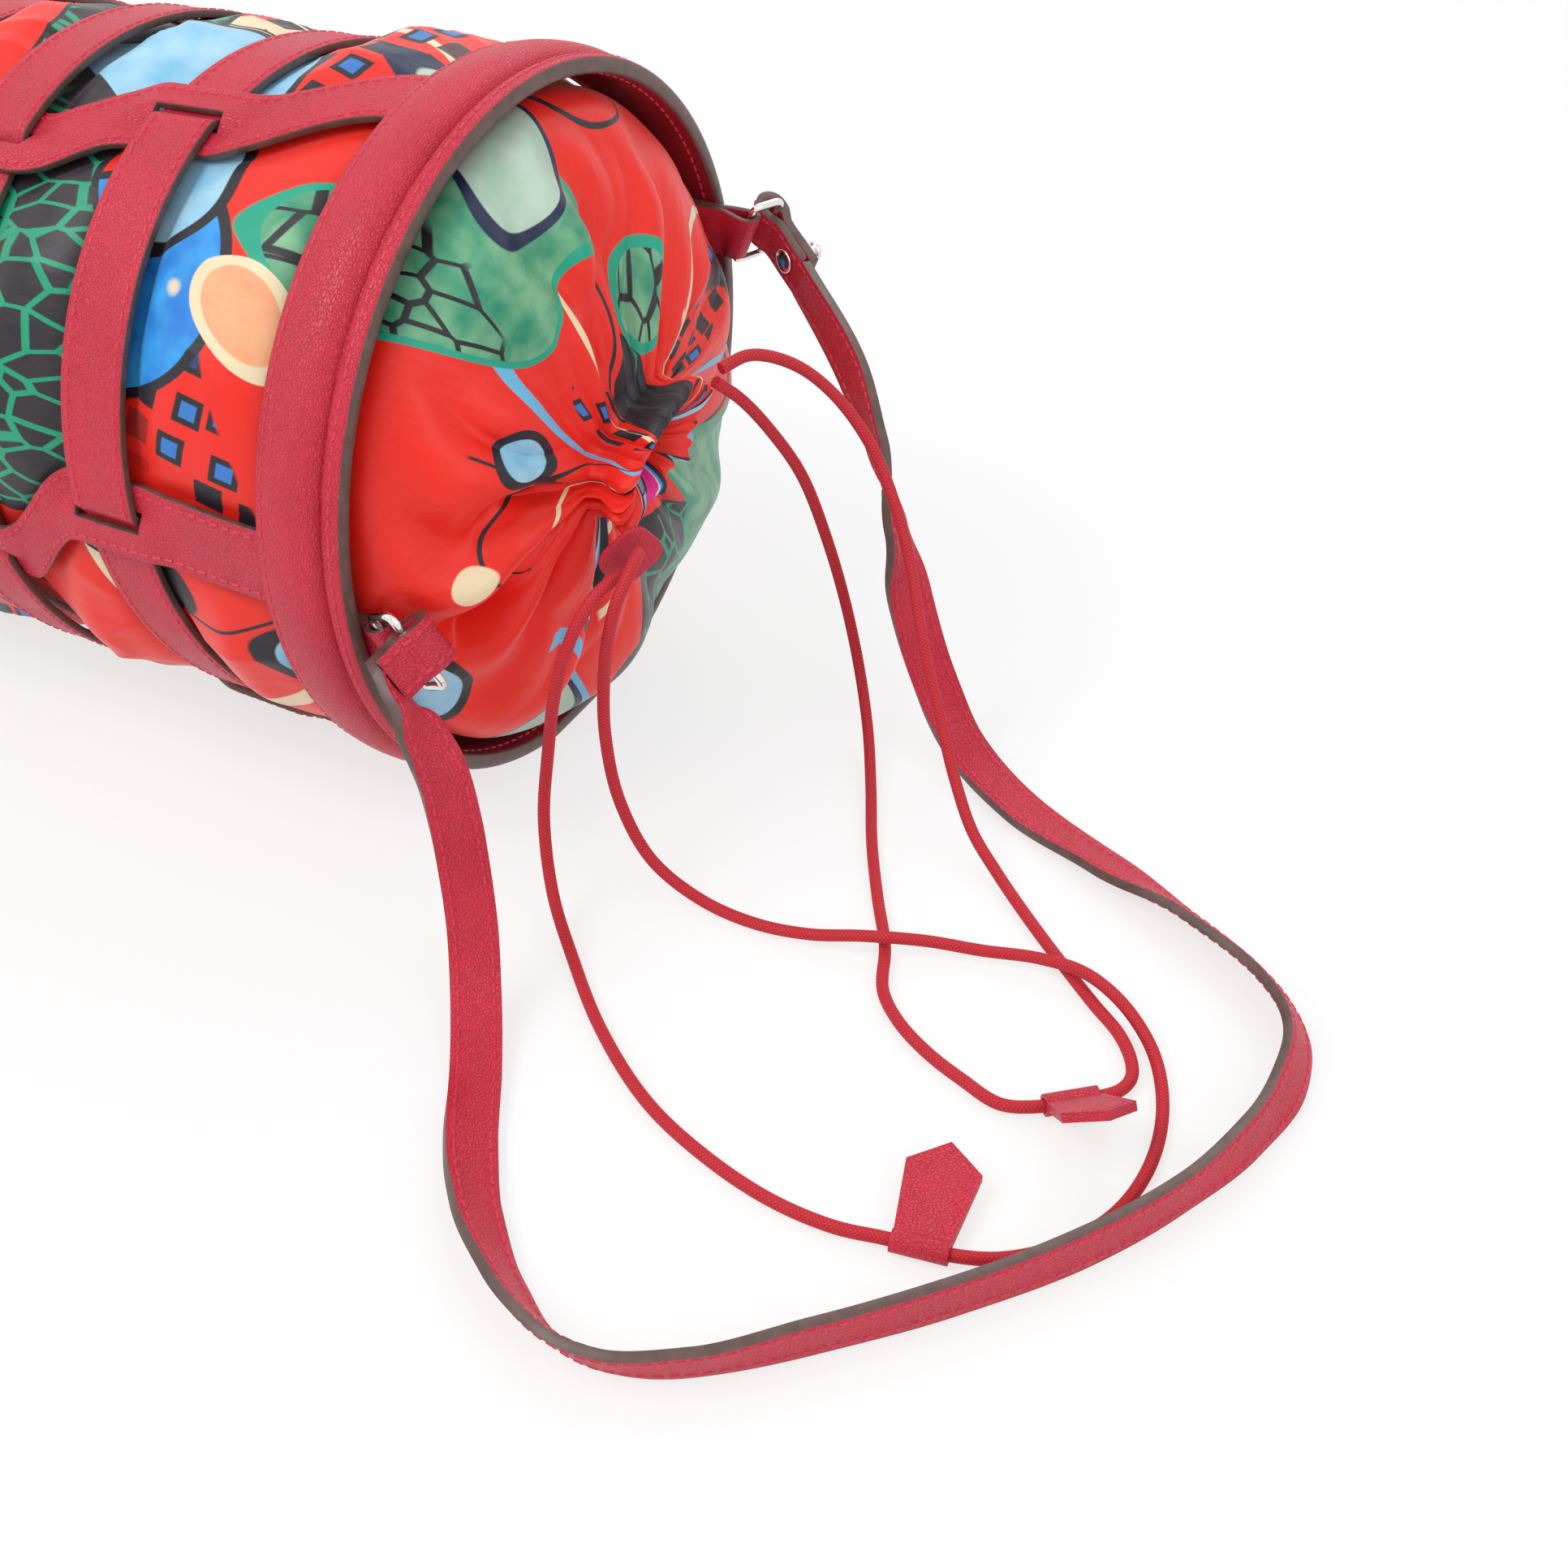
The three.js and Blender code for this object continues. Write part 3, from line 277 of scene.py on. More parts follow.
def as_object(name: str, mesh: bpy.types.Mesh, sharp: float) -> bpy.types.Object:
    """Puts a mesh into the scene, smooth but for edges over an angle."""
    mesh.shade_smooth()
    mesh.set_sharp_from_angle(angle=math.radians(sharp))
    piece = bpy.data.objects.new(name, mesh)
    bpy.context.scene.collection.objects.link(piece)
    return piece


def thicken(piece: bpy.types.Object, thickness: float, rounding: float) -> None:
    """Gives a sheet of leather its thickness, painted edges and rounded corners."""
    wall = piece.modifiers.new("thickness", "SOLIDIFY")
    wall.thickness = thickness
    wall.offset = 0
    wall.material_offset_rim = 1
    round_edges(piece, rounding)


def round_edges(piece: bpy.types.Object, rounding: float, segments: int = 2) -> None:
    """Rounds the edges of a piece that are sharper than 40 degrees."""
    bevel = piece.modifiers.new("rounding", "BEVEL")
    bevel.width = rounding
    bevel.segments = segments
    bevel.limit_method = "ANGLE"
    bevel.angle_limit = math.radians(40)
    bevel.harden_normals = False


def tube(path: Array, radius: float, sides: int, ring: bool = False) -> tuple[Array, Array]:
    """Carries a circle along a path.

    The circle's zero direction is carried from station to station and kept square to the
    path, so that the skin doesn't twist.

    Args:
        path: The line it follows.
        radius: The circle's radius.
        sides: Number of sides.
        ring: Whether the path closes on itself.

    Returns:
        The grid of points, and its map of length along and length around.
    """
    ahead = unit(np.roll(path, -1, 0) - np.roll(path, 1, 0)) if ring else headings(path)
    side = np.zeros_like(path)
    side[0] = unit(np.cross(ahead[0], [0.31, 0.17, 0.93]))
    for i in range(1, len(path)):
        side[i] = unit(side[i - 1] - side[i - 1] @ ahead[i] * ahead[i])
    third = np.cross(ahead, side)
    turn = np.linspace(0, 2 * np.pi, sides + 1)[None, :, None]
    points = path[:, None] + radius * (np.cos(turn) * side[:, None] + np.sin(turn) * third[:, None])
    along = np.broadcast_to(run_length(path)[:, None], points.shape[:2])
    around = np.broadcast_to(turn[..., 0] * radius, points.shape[:2])
    lay = np.stack([along, around], -1)
    if ring:
        return np.concatenate([points, points[:1]]), np.concatenate([lay, lay[:1]])
    caps = np.broadcast_to(path[[0, -1], None], (2, sides + 1, 3))
    points = np.concatenate([caps[:1], points, caps[1:]])
    return points, np.concatenate([lay[:1], lay, lay[-1:]])


class Coordinates(Enum):
    """What a pattern follows: the piece's own map, or its place in space."""

    LAY = "UV"
    SPACE = "Object"


Value = bpy.types.NodeSocket | float | tuple


class Tree:
    """A shader's nodes, with short ways to add them and to join them."""

    def __init__(self, tree: bpy.types.NodeTree) -> None:
        """Takes up a tree of nodes."""
        self.tree = tree

    def node(self, kind: str, inputs: dict | None = None, **settings: str | bool) -> bpy.types.Node:
        """Adds a node, sets its options, and sets or joins its inputs."""
        made = self.tree.nodes.new(kind)
        for name, value in settings.items():
            setattr(made, name, value)
        for name, value in (inputs or {}).items():
            self.feed(made.inputs[name], value)
        return made

    def feed(self, socket: bpy.types.NodeSocket, value: Value) -> None:
        """Joins a socket to another one, or sets it to a number or colour."""
        if isinstance(value, bpy.types.NodeSocket):
            self.tree.links.new(value, socket)
        else:
            socket.default_value = value

    def maths(self, operation: str, a: Value, b: Value = 0.0) -> bpy.types.NodeSocket:
        """Works out one number from two."""
        return self.node("ShaderNodeMath", {0: a, 1: b}, operation=operation).outputs[0]

    def seen_directly(self) -> bpy.types.NodeSocket:
        """Is 1 for what the camera sees straight, in a mirror or through glass."""
        rays = self.node("ShaderNodeLightPath").outputs
        mirrored = self.maths("MAXIMUM", rays["Is Camera Ray"], rays["Is Glossy Ray"])
        return self.maths("MAXIMUM", mirrored, rays["Is Transmission Ray"])

    def shown(self, output: str, share: Value, lit: bpy.types.Node, seen: bpy.types.Node) -> None:
        """Hands a mix of two shaders to the output: lit at share 0 and seen at share 1."""
        join = self.node("ShaderNodeMixShader", {0: share, 1: lit.outputs[0], 2: seen.outputs[0]})
        self.feed(self.tree.nodes[output].inputs[0], join.outputs[0])


class Recipe(Tree):
    """A material's nodes, with the patterns that its finishes are mixed from."""

    def __init__(self, name: str, coordinates: Coordinates = Coordinates.LAY) -> None:
        """Starts a material whose shader is ready to be fed."""
        self.material = bpy.data.materials.new(name)
        self.material.use_nodes = True
        super().__init__(self.material.node_tree)
        self.shader = self.tree.nodes["Principled BSDF"]
        self.place = self.node("ShaderNodeTexCoord").outputs[coordinates.value]

    def blend(self, share: Value, a: Value, b: Value) -> bpy.types.NodeSocket:
        """Goes from colour a to colour b."""
        made = self.node("ShaderNodeMix", data_type="RGBA")
        for index, value in ((0, share), (6, a), (7, b)):
            self.feed(made.inputs[index], value)
        return made.outputs[2]

    def between(self, value: Value, low: float, high: float, start: float = 0.0,
                end: float = 1.0) -> bpy.types.NodeSocket:
        """Carries a number from one range to another, smoothly and held at both ends."""
        return self.node("ShaderNodeMapRange", {0: value, 1: low, 2: high, 3: start, 4: end},
                         interpolation_type="SMOOTHSTEP").outputs[0]

    def stretched(self, place: Value, scale: tuple, turn: float = 0.0,
                  shift: tuple = (0, 0, 0)) -> bpy.types.NodeSocket:
        """Scales, turns and shifts a place."""
        inputs = {"Vector": place, "Scale": scale, "Location": shift, "Rotation": (0, 0, math.radians(turn))}
        return self.node("ShaderNodeMapping", inputs).outputs[0]

    def noise(self, place: Value, scale: float, detail: float = 2.0,
              rough: float = 0.5) -> bpy.types.NodeSocket:
        """Reads smooth noise with lumps of 1 / scale."""
        inputs = {"Vector": place, "Scale": scale, "Detail": detail, "Roughness": rough}
        return self.node("ShaderNodeTexNoise", inputs).outputs["Fac"]

    def cells(self, place: Value, scale: float, feature: str = "F1", spread: float = 1.0,
              metric: str = "EUCLIDEAN") -> bpy.types.NodeSocket:
        """Reads the distance in cells of 1 / scale."""
        inputs = {"Vector": place, "Scale": scale, "Randomness": spread}
        return self.node("ShaderNodeTexVoronoi", inputs, feature=feature, distance=metric).outputs["Distance"]

    def bump(self, height: Value, depth: float, strength: float = 1.0,
             under: bpy.types.NodeSocket | None = None) -> bpy.types.NodeSocket:
        """Turns a height from 0 to 1 into a normal, with its depth in metres."""
        inputs = {"Height": height, "Distance": depth, "Strength": strength}
        if under is not None:
            inputs["Normal"] = under
        return self.node("ShaderNodeBump", inputs).outputs[0]

    def finish(self, **inputs: Value) -> bpy.types.Material:
        """Feeds the shader's sockets, named with underscores, and hands the material over."""
        for name, value in inputs.items():
            self.feed(self.shader.inputs[name.replace("_", " ")], value)
        return self.material


@dataclass(frozen=True)
class GrainedLeather:
    """Calf leather pressed with a fine slanting grain, and its colour in full light."""

    name: str
    colour: tuple[int, int, int] = (206, 38, 62)
    grain: float = 1 / 1.25
    depth: float = 0.17 * MM
    roughness: float = 0.44
    coordinates: Coordinates = Coordinates.LAY

    def material(self) -> bpy.types.Material:
        """Builds the leather: stretched cells for the grain, noise for its uneven dye."""
        r = Recipe(self.name, self.coordinates)
        warp = r.noise(r.place, 320, 2)
        turned = r.stretched(r.place, (1.0, 1.75, 1.3), 32)
        aside, ahead = (r.maths("MULTIPLY", warp, reach) for reach in (1.6 * MM, 1.1 * MM))
        drift = r.node("ShaderNodeCombineXYZ", {0: aside, 1: ahead}).outputs[0]
        bent = r.node("ShaderNodeVectorMath", {0: turned, 1: drift}, operation="ADD").outputs[0]
        pebbles = r.cells(bent, 1000 * self.grain, "DISTANCE_TO_EDGE")
        grain = r.between(pebbles, 0.0, 0.16)
        fine = r.noise(r.place, 3800, 2)
        height = r.maths("ADD", grain, r.maths("MULTIPLY", fine, 0.25))
        clouds = r.between(r.noise(r.place, 38, 4, 0.6), 0.3, 0.7)
        lit = linear(*self.colour)
        deep = linear(*(round(0.8 * channel) for channel in self.colour))
        pale = linear(*(min(255, round(channel + 16)) for channel in self.colour))
        colour = r.blend(r.between(grain, 0.0, 0.8), deep, lit)
        colour = r.blend(r.maths("MULTIPLY", clouds, 0.35), colour, pale)
        gloss = r.between(clouds, 0, 1, self.roughness - 0.05, self.roughness + 0.07)
        return r.finish(Base_Color=colour, Roughness=gloss, Specular_IOR_Level=0.42,
                        Normal=r.bump(height, self.depth, 0.85))


@dataclass(frozen=True)
class PaintedEdge:
    """The sealed, slightly glossy paint on cut leather edges."""

    name: str
    colour: tuple[int, int, int] = (98, 74, 68)

    def material(self) -> bpy.types.Material:
        """Builds the paint: brown-grey with soft streaks along the edge."""
        r = Recipe(self.name, Coordinates.SPACE)
        streaks = r.noise(r.place, 210, 3)
        dark = linear(*(round(0.84 * channel) for channel in self.colour))
        colour = r.blend(r.between(streaks, 0.3, 0.7), dark, linear(*self.colour))
        return r.finish(Base_Color=colour, Roughness=0.42, Specular_IOR_Level=0.5,
                        Normal=r.bump(r.noise(r.place, 900, 2), 0.1 * MM, 0.5))


@dataclass(frozen=True)
class SewingThread:
    """Waxed sewing thread, a little pinker than the leather it holds."""

    name: str
    colour: tuple[int, int, int] = (216, 52, 82)

    def material(self) -> bpy.types.Material:
        """Builds the thread, with the fine slant of its plies."""
        r = Recipe(self.name, Coordinates.SPACE)
        plies = r.noise(r.place, 2600, 2)
        colour = r.blend(r.between(plies, 0.3, 0.7), linear(190, 30, 60), linear(*self.colour))
        return r.finish(Base_Color=colour, Roughness=0.5, Normal=r.bump(plies, 0.05 * MM, 0.6))


@dataclass(frozen=True)
class CordYarn:
    """The drawcord's tight round braid of viscose yarn."""

    name: str
    colour: tuple[int, int, int] = (208, 28, 46)
    strand: float = 0.9 * MM

    def material(self) -> bpy.types.Material:
        """Builds the braid: two slanting sets of ridges that cross."""
        r = Recipe(self.name)
        ridges = []
        for turn in (35, -35):
            slanted = r.stretched(r.place, (1 / self.strand, 1 / self.strand, 1), turn)
            across = r.node("ShaderNodeSeparateXYZ", {0: slanted}).outputs[0]
            ridges.append(r.maths("ABSOLUTE", r.maths("SINE", r.maths("MULTIPLY", across, math.pi))))
        braid = r.maths("MULTIPLY", *ridges)
        colour = r.blend(r.between(braid, 0.0, 0.7), linear(158, 16, 32), linear(*self.colour))
        return r.finish(Base_Color=colour, Roughness=0.66, Sheen_Weight=0.35, Sheen_Roughness=0.4,
                        Sheen_Tint=linear(255, 120, 130), Normal=r.bump(braid, 0.14 * MM, 0.7))


@dataclass(frozen=True)
class PolishedMetal:
    """Palladium-bright metal with faint polishing marks."""

    name: str

    def material(self) -> bpy.types.Material:
        """Builds the metal: near-white, with a roughness that varies a little."""
        r = Recipe(self.name, Coordinates.SPACE)
        marks = r.noise(r.stretched(r.place, (1, 6, 1), 20), 700, 4)
        return r.finish(Base_Color=linear(228, 226, 222), Metallic=1.0,
                        Roughness=r.between(marks, 0.3, 0.7, 0.09, 0.2))


Colour = tuple[int, int, int]
INK: Colour = (28, 25, 32)
NAVY: Colour = (22, 32, 66)
CREAM: Colour = (232, 214, 176)
SKY: Colour = (104, 182, 222)


@dataclass(frozen=True)
class PrintField:
    """One kind of field in the print: where slow noise is over a level.

    Scale is in lumps per metre, shift picks another part of the noise, line is the width of
    the outline in the noise's own measure, and ragged is how uneven the outline runs.
    """

    scale: float
    shift: float
    level: float
    tones: tuple[Colour, Colour]
    outline: Colour
    line: float = 0.012
    ragged: float = 0.5
    veins: Colour | None = None


@dataclass(frozen=True)
class PrintLine:
    """One kind of drawn line in the print: where slow noise crosses its middle value."""

    scale: float
    shift: float
    line: float
    colour: Colour


@dataclass(frozen=True)
class PrintedSilk:
    """Silk twill printed with rounded fields, veins, small squares and loose lines."""

    name: str
    ground: Colour = (232, 34, 20)
    fields: tuple[PrintField, ...] = (
        PrintField(8.5, 3.1, 0.62, ((12, 112, 204), (56, 166, 236)), INK, 0.01),
        PrintField(7.5, 41.9, 0.625, (INK, (46, 38, 44)), INK, 0.003, 0.9, (22, 150, 112)),
        PrintField(10.0, 11.7, 0.635, ((206, 14, 130), (232, 30, 150)), CREAM, 0.01, 2.2),
        PrintField(9.5, 23.4, 0.66, ((16, 132, 100), (126, 182, 140)), (24, 158, 128), 0.007, 0.9, INK),
        PrintField(11.0, 77.7, 0.68, ((120, 186, 222), (164, 208, 228)), INK, 0.01),
        PrintField(12.0, 57.3, 0.71, ((160, 192, 170), (184, 206, 190)), NAVY, 0.008),
        PrintField(12.0, 71.3, 0.72, ((236, 154, 108), (240, 176, 132)), CREAM, 0.008),
    )
    lines: tuple[PrintLine, ...] = (
        PrintLine(6.5, 5.3, 0.0075, SKY),
        PrintLine(7.5, 33.0, 0.0055, CREAM),
        PrintLine(10.0, 63.0, 0.0035, INK),
    )

    def slow(self, r: Recipe, scale: float, shift: float, ragged: float = 0.5) -> bpy.types.NodeSocket:
        """Reads slow noise somewhere else in its pattern."""
        return r.noise(r.stretched(r.place, (1.0, 0.8, 1.0), 0, (shift, 0.37 * shift, 0)), scale, ragged, 0.4)

    def band(self, r: Recipe, value: bpy.types.NodeSocket, level: float, line: float) -> bpy.types.NodeSocket:
        """Marks where a value is within a line's width of a level."""
        beside = r.maths("ABSOLUTE", r.maths("SUBTRACT", value, level))
        return r.between(beside, line, 0.75 * line)

    def printed(self, r: Recipe) -> bpy.types.NodeSocket:
        """Lays the print in layers, from the ground up."""
        wash = r.between(r.noise(r.place, 70, 3), 0.25, 0.75)
        netting = r.cells(r.stretched(r.place, (1, 0.5, 1), 30), 110, "DISTANCE_TO_EDGE")
        veins = r.between(netting, 0.07, 0.045)
        colour = linear(*self.ground)
        for item in self.lines:
            reach = r.between(self.slow(r, 5, 2 * item.shift), 0.5, 0.505)
            mark = self.band(r, self.slow(r, item.scale, item.shift), 0.5, item.line)
            colour = r.blend(r.maths("MULTIPLY", reach, mark), colour, linear(*item.colour))
        squares = r.cells(r.stretched(r.place, (1, 0.8, 1), 12), 84, "F1", 0.35, metric="CHEBYCHEV")
        reach = r.between(self.slow(r, 11, 5.2), 0.64, 0.645)
        for size, tone in ((0.34, INK), (0.2, (52, 118, 196))):
            mark = r.maths("MULTIPLY", reach, r.between(squares, size, size - 0.03))
            colour = r.blend(mark, colour, linear(*tone))
        for item in self.fields:
            value = self.slow(r, item.scale, item.shift, item.ragged)
            inside = r.blend(wash, linear(*item.tones[0]), linear(*item.tones[1]))
            if item.veins:
                reach = r.between(self.slow(r, 9, item.shift + 4), 0.47, 0.49)
                inside = r.blend(r.maths("MULTIPLY", veins, reach), inside, linear(*item.veins))
            colour = r.blend(r.between(value, item.level, item.level + 0.003), colour, inside)
            colour = r.blend(self.band(r, value, item.level, item.line), colour, linear(*item.outline))
        return colour

    def material(self) -> bpy.types.Material:
        """Builds the silk: the print, the fine slanting ribs of the twill and soft creases."""
        r = Recipe(self.name)
        twill = r.node("ShaderNodeTexWave", {
            "Vector": r.stretched(r.place, (1, 1, 1), 45), "Scale": 560.0, "Distortion": 0.6, "Detail": 1.0,
        }).outputs["Fac"]
        creased = r.stretched(r.place, (1.0, 0.3, 1.0))
        soft = r.noise(creased, 150, 3)
        fine = r.bump(twill, 0.03 * MM, 0.35)
        return r.finish(Base_Color=self.printed(r), Roughness=0.45, Specular_IOR_Level=0.4, Sheen_Weight=0.12,
                        Sheen_Roughness=0.35, Normal=r.bump(soft, 1.2 * MM, 0.5, fine))


@dataclass
class Finishes:
    """Every finish of the pouch, made once and shared by its pieces."""

    leather: bpy.types.Material = field(default_factory=GrainedLeather("grained_leather").material)
    # The lining is red leather like the outer face; its darker red (150, 18, 40) is painted shade for the
    # shaded inside of the mouth.
    lining: bpy.types.Material = field(default_factory=GrainedLeather(
        "lining_leather", (150, 18, 40), 1 / 0.7, 0.08 * MM, 0.5).material)
    small_leather: bpy.types.Material = field(default_factory=GrainedLeather(
        "small_leather", coordinates=Coordinates.SPACE).material)
    edge: bpy.types.Material = field(default_factory=PaintedEdge("painted_edge").material)
    thread: bpy.types.Material = field(default_factory=SewingThread("sewing_thread").material)
    cord: bpy.types.Material = field(default_factory=CordYarn("cord_yarn").material)
    metal: bpy.types.Material = field(default_factory=PolishedMetal("polished_metal").material)
    silk: bpy.types.Material = field(default_factory=PrintedSilk("printed_silk").material)


class Body(Enum):
    """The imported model's bodies."""

    BAG = "bag"
    RING_RIGHT = "ring_right"
    RING_LEFT = "ring_left"


def dress(piece: bpy.types.Object, nodes: tuple = (), body: Body = Body.BAG) -> bpy.types.Object:
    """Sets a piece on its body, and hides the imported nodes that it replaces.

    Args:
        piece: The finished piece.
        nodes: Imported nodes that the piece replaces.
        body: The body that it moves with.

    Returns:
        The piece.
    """
    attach(piece, body.value)
    if nodes:
        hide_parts(*nodes)
    LOG.info("%s: %d faces", piece.name, len(piece.data.polygons))
    return piece


@dataclass
class Studio:
    """Camera, soft light, and the pale floor that fades into the backdrop."""

    eye: tuple = (306.5 * MM, -442.3 * MM, 408.3 * MM)
    right: tuple = (0.8854, 0.4648, 0.0)
    upward: tuple = (-0.2944, 0.5608, 0.7738)
    sensor: float = 36.0
    lens: float = 46.58
    grey: float = 0.62
    floor_size: float = 40.0
    floor_drop: float = 0.2 * MM
    floor_tone: tuple = (0.9, 0.9, 0.9, 1)
    glow: float = 0.72
    fade_start: float = 0.5
    fade_end: float = 1.6
    lamps: tuple = (
        ("key", (-0.7, -0.9, 1.6), 1.0, 17),
        ("fill", (1.3, -0.4, 1.1), 1.2, 7),
        ("rear", (-0.3, 1.2, 1.3), 1.0, 6),
    )

    def camera(self) -> None:
        """Stands the camera where the photograph was taken from."""
        data = bpy.data.cameras.new("camera")
        data.sensor_width = self.sensor
        data.lens = self.lens
        data.clip_start = 0.02
        camera = bpy.data.objects.new("camera", data)
        right, upward = Vector(self.right).normalized(), Vector(self.upward).normalized()
        turn = Matrix((right, upward, right.cross(upward))).transposed().to_4x4()
        camera.matrix_world = Matrix.Translation(Vector(Mouth.place(np.array(self.eye)))) @ turn
        bpy.context.scene.collection.objects.link(camera)
        bpy.context.scene.camera = camera

    def backdrop(self) -> None:
        """Makes the world white to the eye and a plain grey as a lamp."""
        world = bpy.data.worlds.new("backdrop")
        world.use_nodes = True
        bpy.context.scene.world = world
        tree = Tree(world.node_tree)
        light = world.node_tree.nodes["Background"]
        white = tree.node("ShaderNodeBackground")
        for node, strength in ((light, self.grey), (white, 1.0)):
            tree.feed(node.inputs["Color"], (1, 1, 1, 1))
            tree.feed(node.inputs["Strength"], strength)
        tree.shown("World Output", tree.seen_directly(), light, white)

    def floor(self) -> None:
        """Lays a white floor under the bag, which keeps a soft shadow."""
        half, level = self.floor_size / 2, CAD_BOX[0].z - self.floor_drop
        mesh = bpy.data.meshes.new("floor")
        corners = ((-half, -half), (half, -half), (half, half), (-half, half))
        mesh.from_pydata([(x, y, level) for x, y in corners], [], [(0, 1, 2, 3)])
        floor = bpy.data.objects.new("floor", mesh)
        bpy.context.scene.collection.objects.link(floor)
        r = Recipe("white_floor", Coordinates.SPACE)
        away = r.node("ShaderNodeVectorMath", {0: r.place}, operation="LENGTH").outputs["Value"]
        glow = r.node("ShaderNodeMapRange", {
            0: away, 1: self.fade_start, 2: self.fade_end, 3: self.glow, 4: 1.0,
        }).outputs[0]
        white = r.node("ShaderNodeEmission", {"Strength": 1.0})
        r.shown("Material Output", r.maths("MULTIPLY", r.seen_directly(), glow), r.shader, white)
        mesh.materials.append(r.finish(Base_Color=self.floor_tone, Roughness=0.9))

    def lamp(self, name: str, place: tuple, size: float, power: float) -> None:
        """Hangs a square soft lamp that faces the bag."""
        data = bpy.data.lights.new(name, "AREA")
        data.size = size
        data.energy = power
        lamp = bpy.data.objects.new(name, data)
        place = Vector(place)
        lamp.location = place
        lamp.rotation_mode = "QUATERNION"
        lamp.rotation_quaternion = (Vector((0.05, 0, 0.05)) - place).to_track_quat("-Z", "Y")
        bpy.context.scene.collection.objects.link(lamp)

    def build(self) -> None:
        """Sets the studio up."""
        bpy.context.scene.view_settings.view_transform = "Standard"
        self.camera()
        self.backdrop()
        self.floor()
        for name, place, size, power in self.lamps:
            self.lamp(name, place, size, power)


@dataclass
class Drawcord:
    """One looped cord: it leaves the silk, lies on the floor and goes back in."""

    side: str
    route: tuple
    diameter: float = 3.6 * MM
    sides: int = 18
    spacing: float = 1.6 * MM

    def build(self, finishes: Finishes) -> None:
        """Makes the cord."""
        centre = evenly(curve_through(np.array(self.route) * MM)[0], self.spacing)
        points, lay = tube(centre, self.diameter / 2, self.sides)
        node = f"drawcord_{self.side}"
        piece = Surface(f"cord_{self.side}", [finishes.cord]).grid(points, lay).build()
        dress(piece, (node,))
        path = Mouth.place(centre)


@dataclass
class Drawcords:
    """Both cords, and the leather tab folded round each of them."""

    right: tuple = (
        (48.5, 10.6, 134.4), (53, 20, 135.5), (62, 30, 130), (72, 36.5, 119.5), (83.5, 38, 105), (93, 35, 90),
        (101, 30, 75), (111, 20, 54), (121, 12, 36), (131, 3, 21), (141, -5, 10), (152, -12, 4.2),
        (167, -24, 2.2), (184, -38, 2.1), (198, -49, 2.1), (207.5, -56, 2.1), (213.8, -63.5, 2.1),
        (216.4, -70, 2.4), (215.6, -76, 3), (212.4, -80.47, 3.4), (205.4, -86.3, 3.4), (198.4, -92.13, 3.4),
        (189, -95.3, 2.6), (176, -91.5, 2.1), (164, -87, 2.1), (152, -80, 2.1), (143, -71, 2.1),
        (136, -55, 2.1), (125, -37, 2.1),
        (113, -16, 2.2), (101, 8, 3.2), (91, 26, 10), (82, 37, 25), (74, 42, 45), (68, 40, 68),
        (63, 33, 92), (57.5, 23, 111), (52.5, 15, 123.5), (47.8, 8.4, 131.2),
    )
    left: tuple = (
        (50.4, -46.2, 100), (52, -54.5, 103), (51, -64.5, 102.5), (48.5, -70.5, 96), (45.5, -73.8, 86),
        (42, -75, 72), (38.5, -75.3, 52), (37.5, -79, 29),
        (44, -87, 10), (59, -101, 3), (81, -121, 2.1), (106, -138, 2.1), (129, -147, 2.1),
        (150, -151.5, 2.1), (168, -152, 2.6), (181.1, -149.8, 3.4), (190, -148.2, 3.4), (198.9, -146.6, 3.4),
        (209, -141.5, 2.6), (220, -131, 2.1), (228, -117, 2.1), (231, -102, 2.1), (230, -86, 2.1),
        (225, -70, 2.1), (217, -57, 2.8), (205, -48, 5.8), (192, -43, 7), (178, -42, 5.4),
        (162, -45, 3.8), (147, -51, 6), (131, -58, 6.8), (115, -62, 3.8), (98, -64, 2.4),
        (80, -64, 4.2), (64, -64, 13), (54, -64, 32), (50, -63, 54), (51, -63, 75), (54, -64, 90),
        (56.2, -62.5, 100.5), (57, -56.5, 107), (55.4, -50, 107.7), (52.6, -44.2, 105),
    )
    right_tab: tuple = ((205.4, -86.3, 3.4), (0.768, 0.64, 0), (0.27, -0.72, 0.63))
    left_tab: tuple = ((190, -148.2, 3.4), (0.984, 0.177, 0), (-0.1, 0.97, 0.08))
    blade: tuple = ((-5.4, 4), (-7.7, 23.2), (0, 29.4), (7.7, 23.2), (5.4, 4))
    tab_thickness: float = 2.6 * MM

    def pull(self, side: str, place: tuple, finishes: Finishes) -> None:
        """Rounds and dresses the leather tab on one cord, and stitches round its blade.

        Args:
            side: The cord's side.
            place: The tab's middle in millimetres, the cord's direction there and the blade's.
            finishes: The finishes.
        """
        piece = refined(f"pull_tab_{side}", f"pull_leather_{side}", finishes.small_leather, 0.45 * MM)
        dress(piece, (f"pull_tab_{side}",))
        middle, along, fin = (np.array(row, float) for row in place)
        along = unit(along)
        fin = unit(fin - fin @ along * along)
        outline = evenly(np.array(self.blade), 0.6) * MM
        stitching = Stitching(f"pull_stitches_{side}", 1.9 * MM, 0.8 * MM, 0.36 * MM)
        for face in (-1, 1):
            up = face * np.cross(along, fin)
            line = middle * MM + outline[:, :1] * along + outline[:, 1:] * fin + self.tab_thickness / 2 * up
            stitching.row(line, np.broadcast_to(up, line.shape))
        dress(stitching.build(finishes))

    def build(self, finishes: Finishes) -> None:
        """Makes the tabs, then the cords that carry them."""
        for side, route, place in (("right", self.right, self.right_tab), ("left", self.left, self.left_tab)):
            self.pull(side, place, finishes)
            Drawcord(side, route).build(finishes)


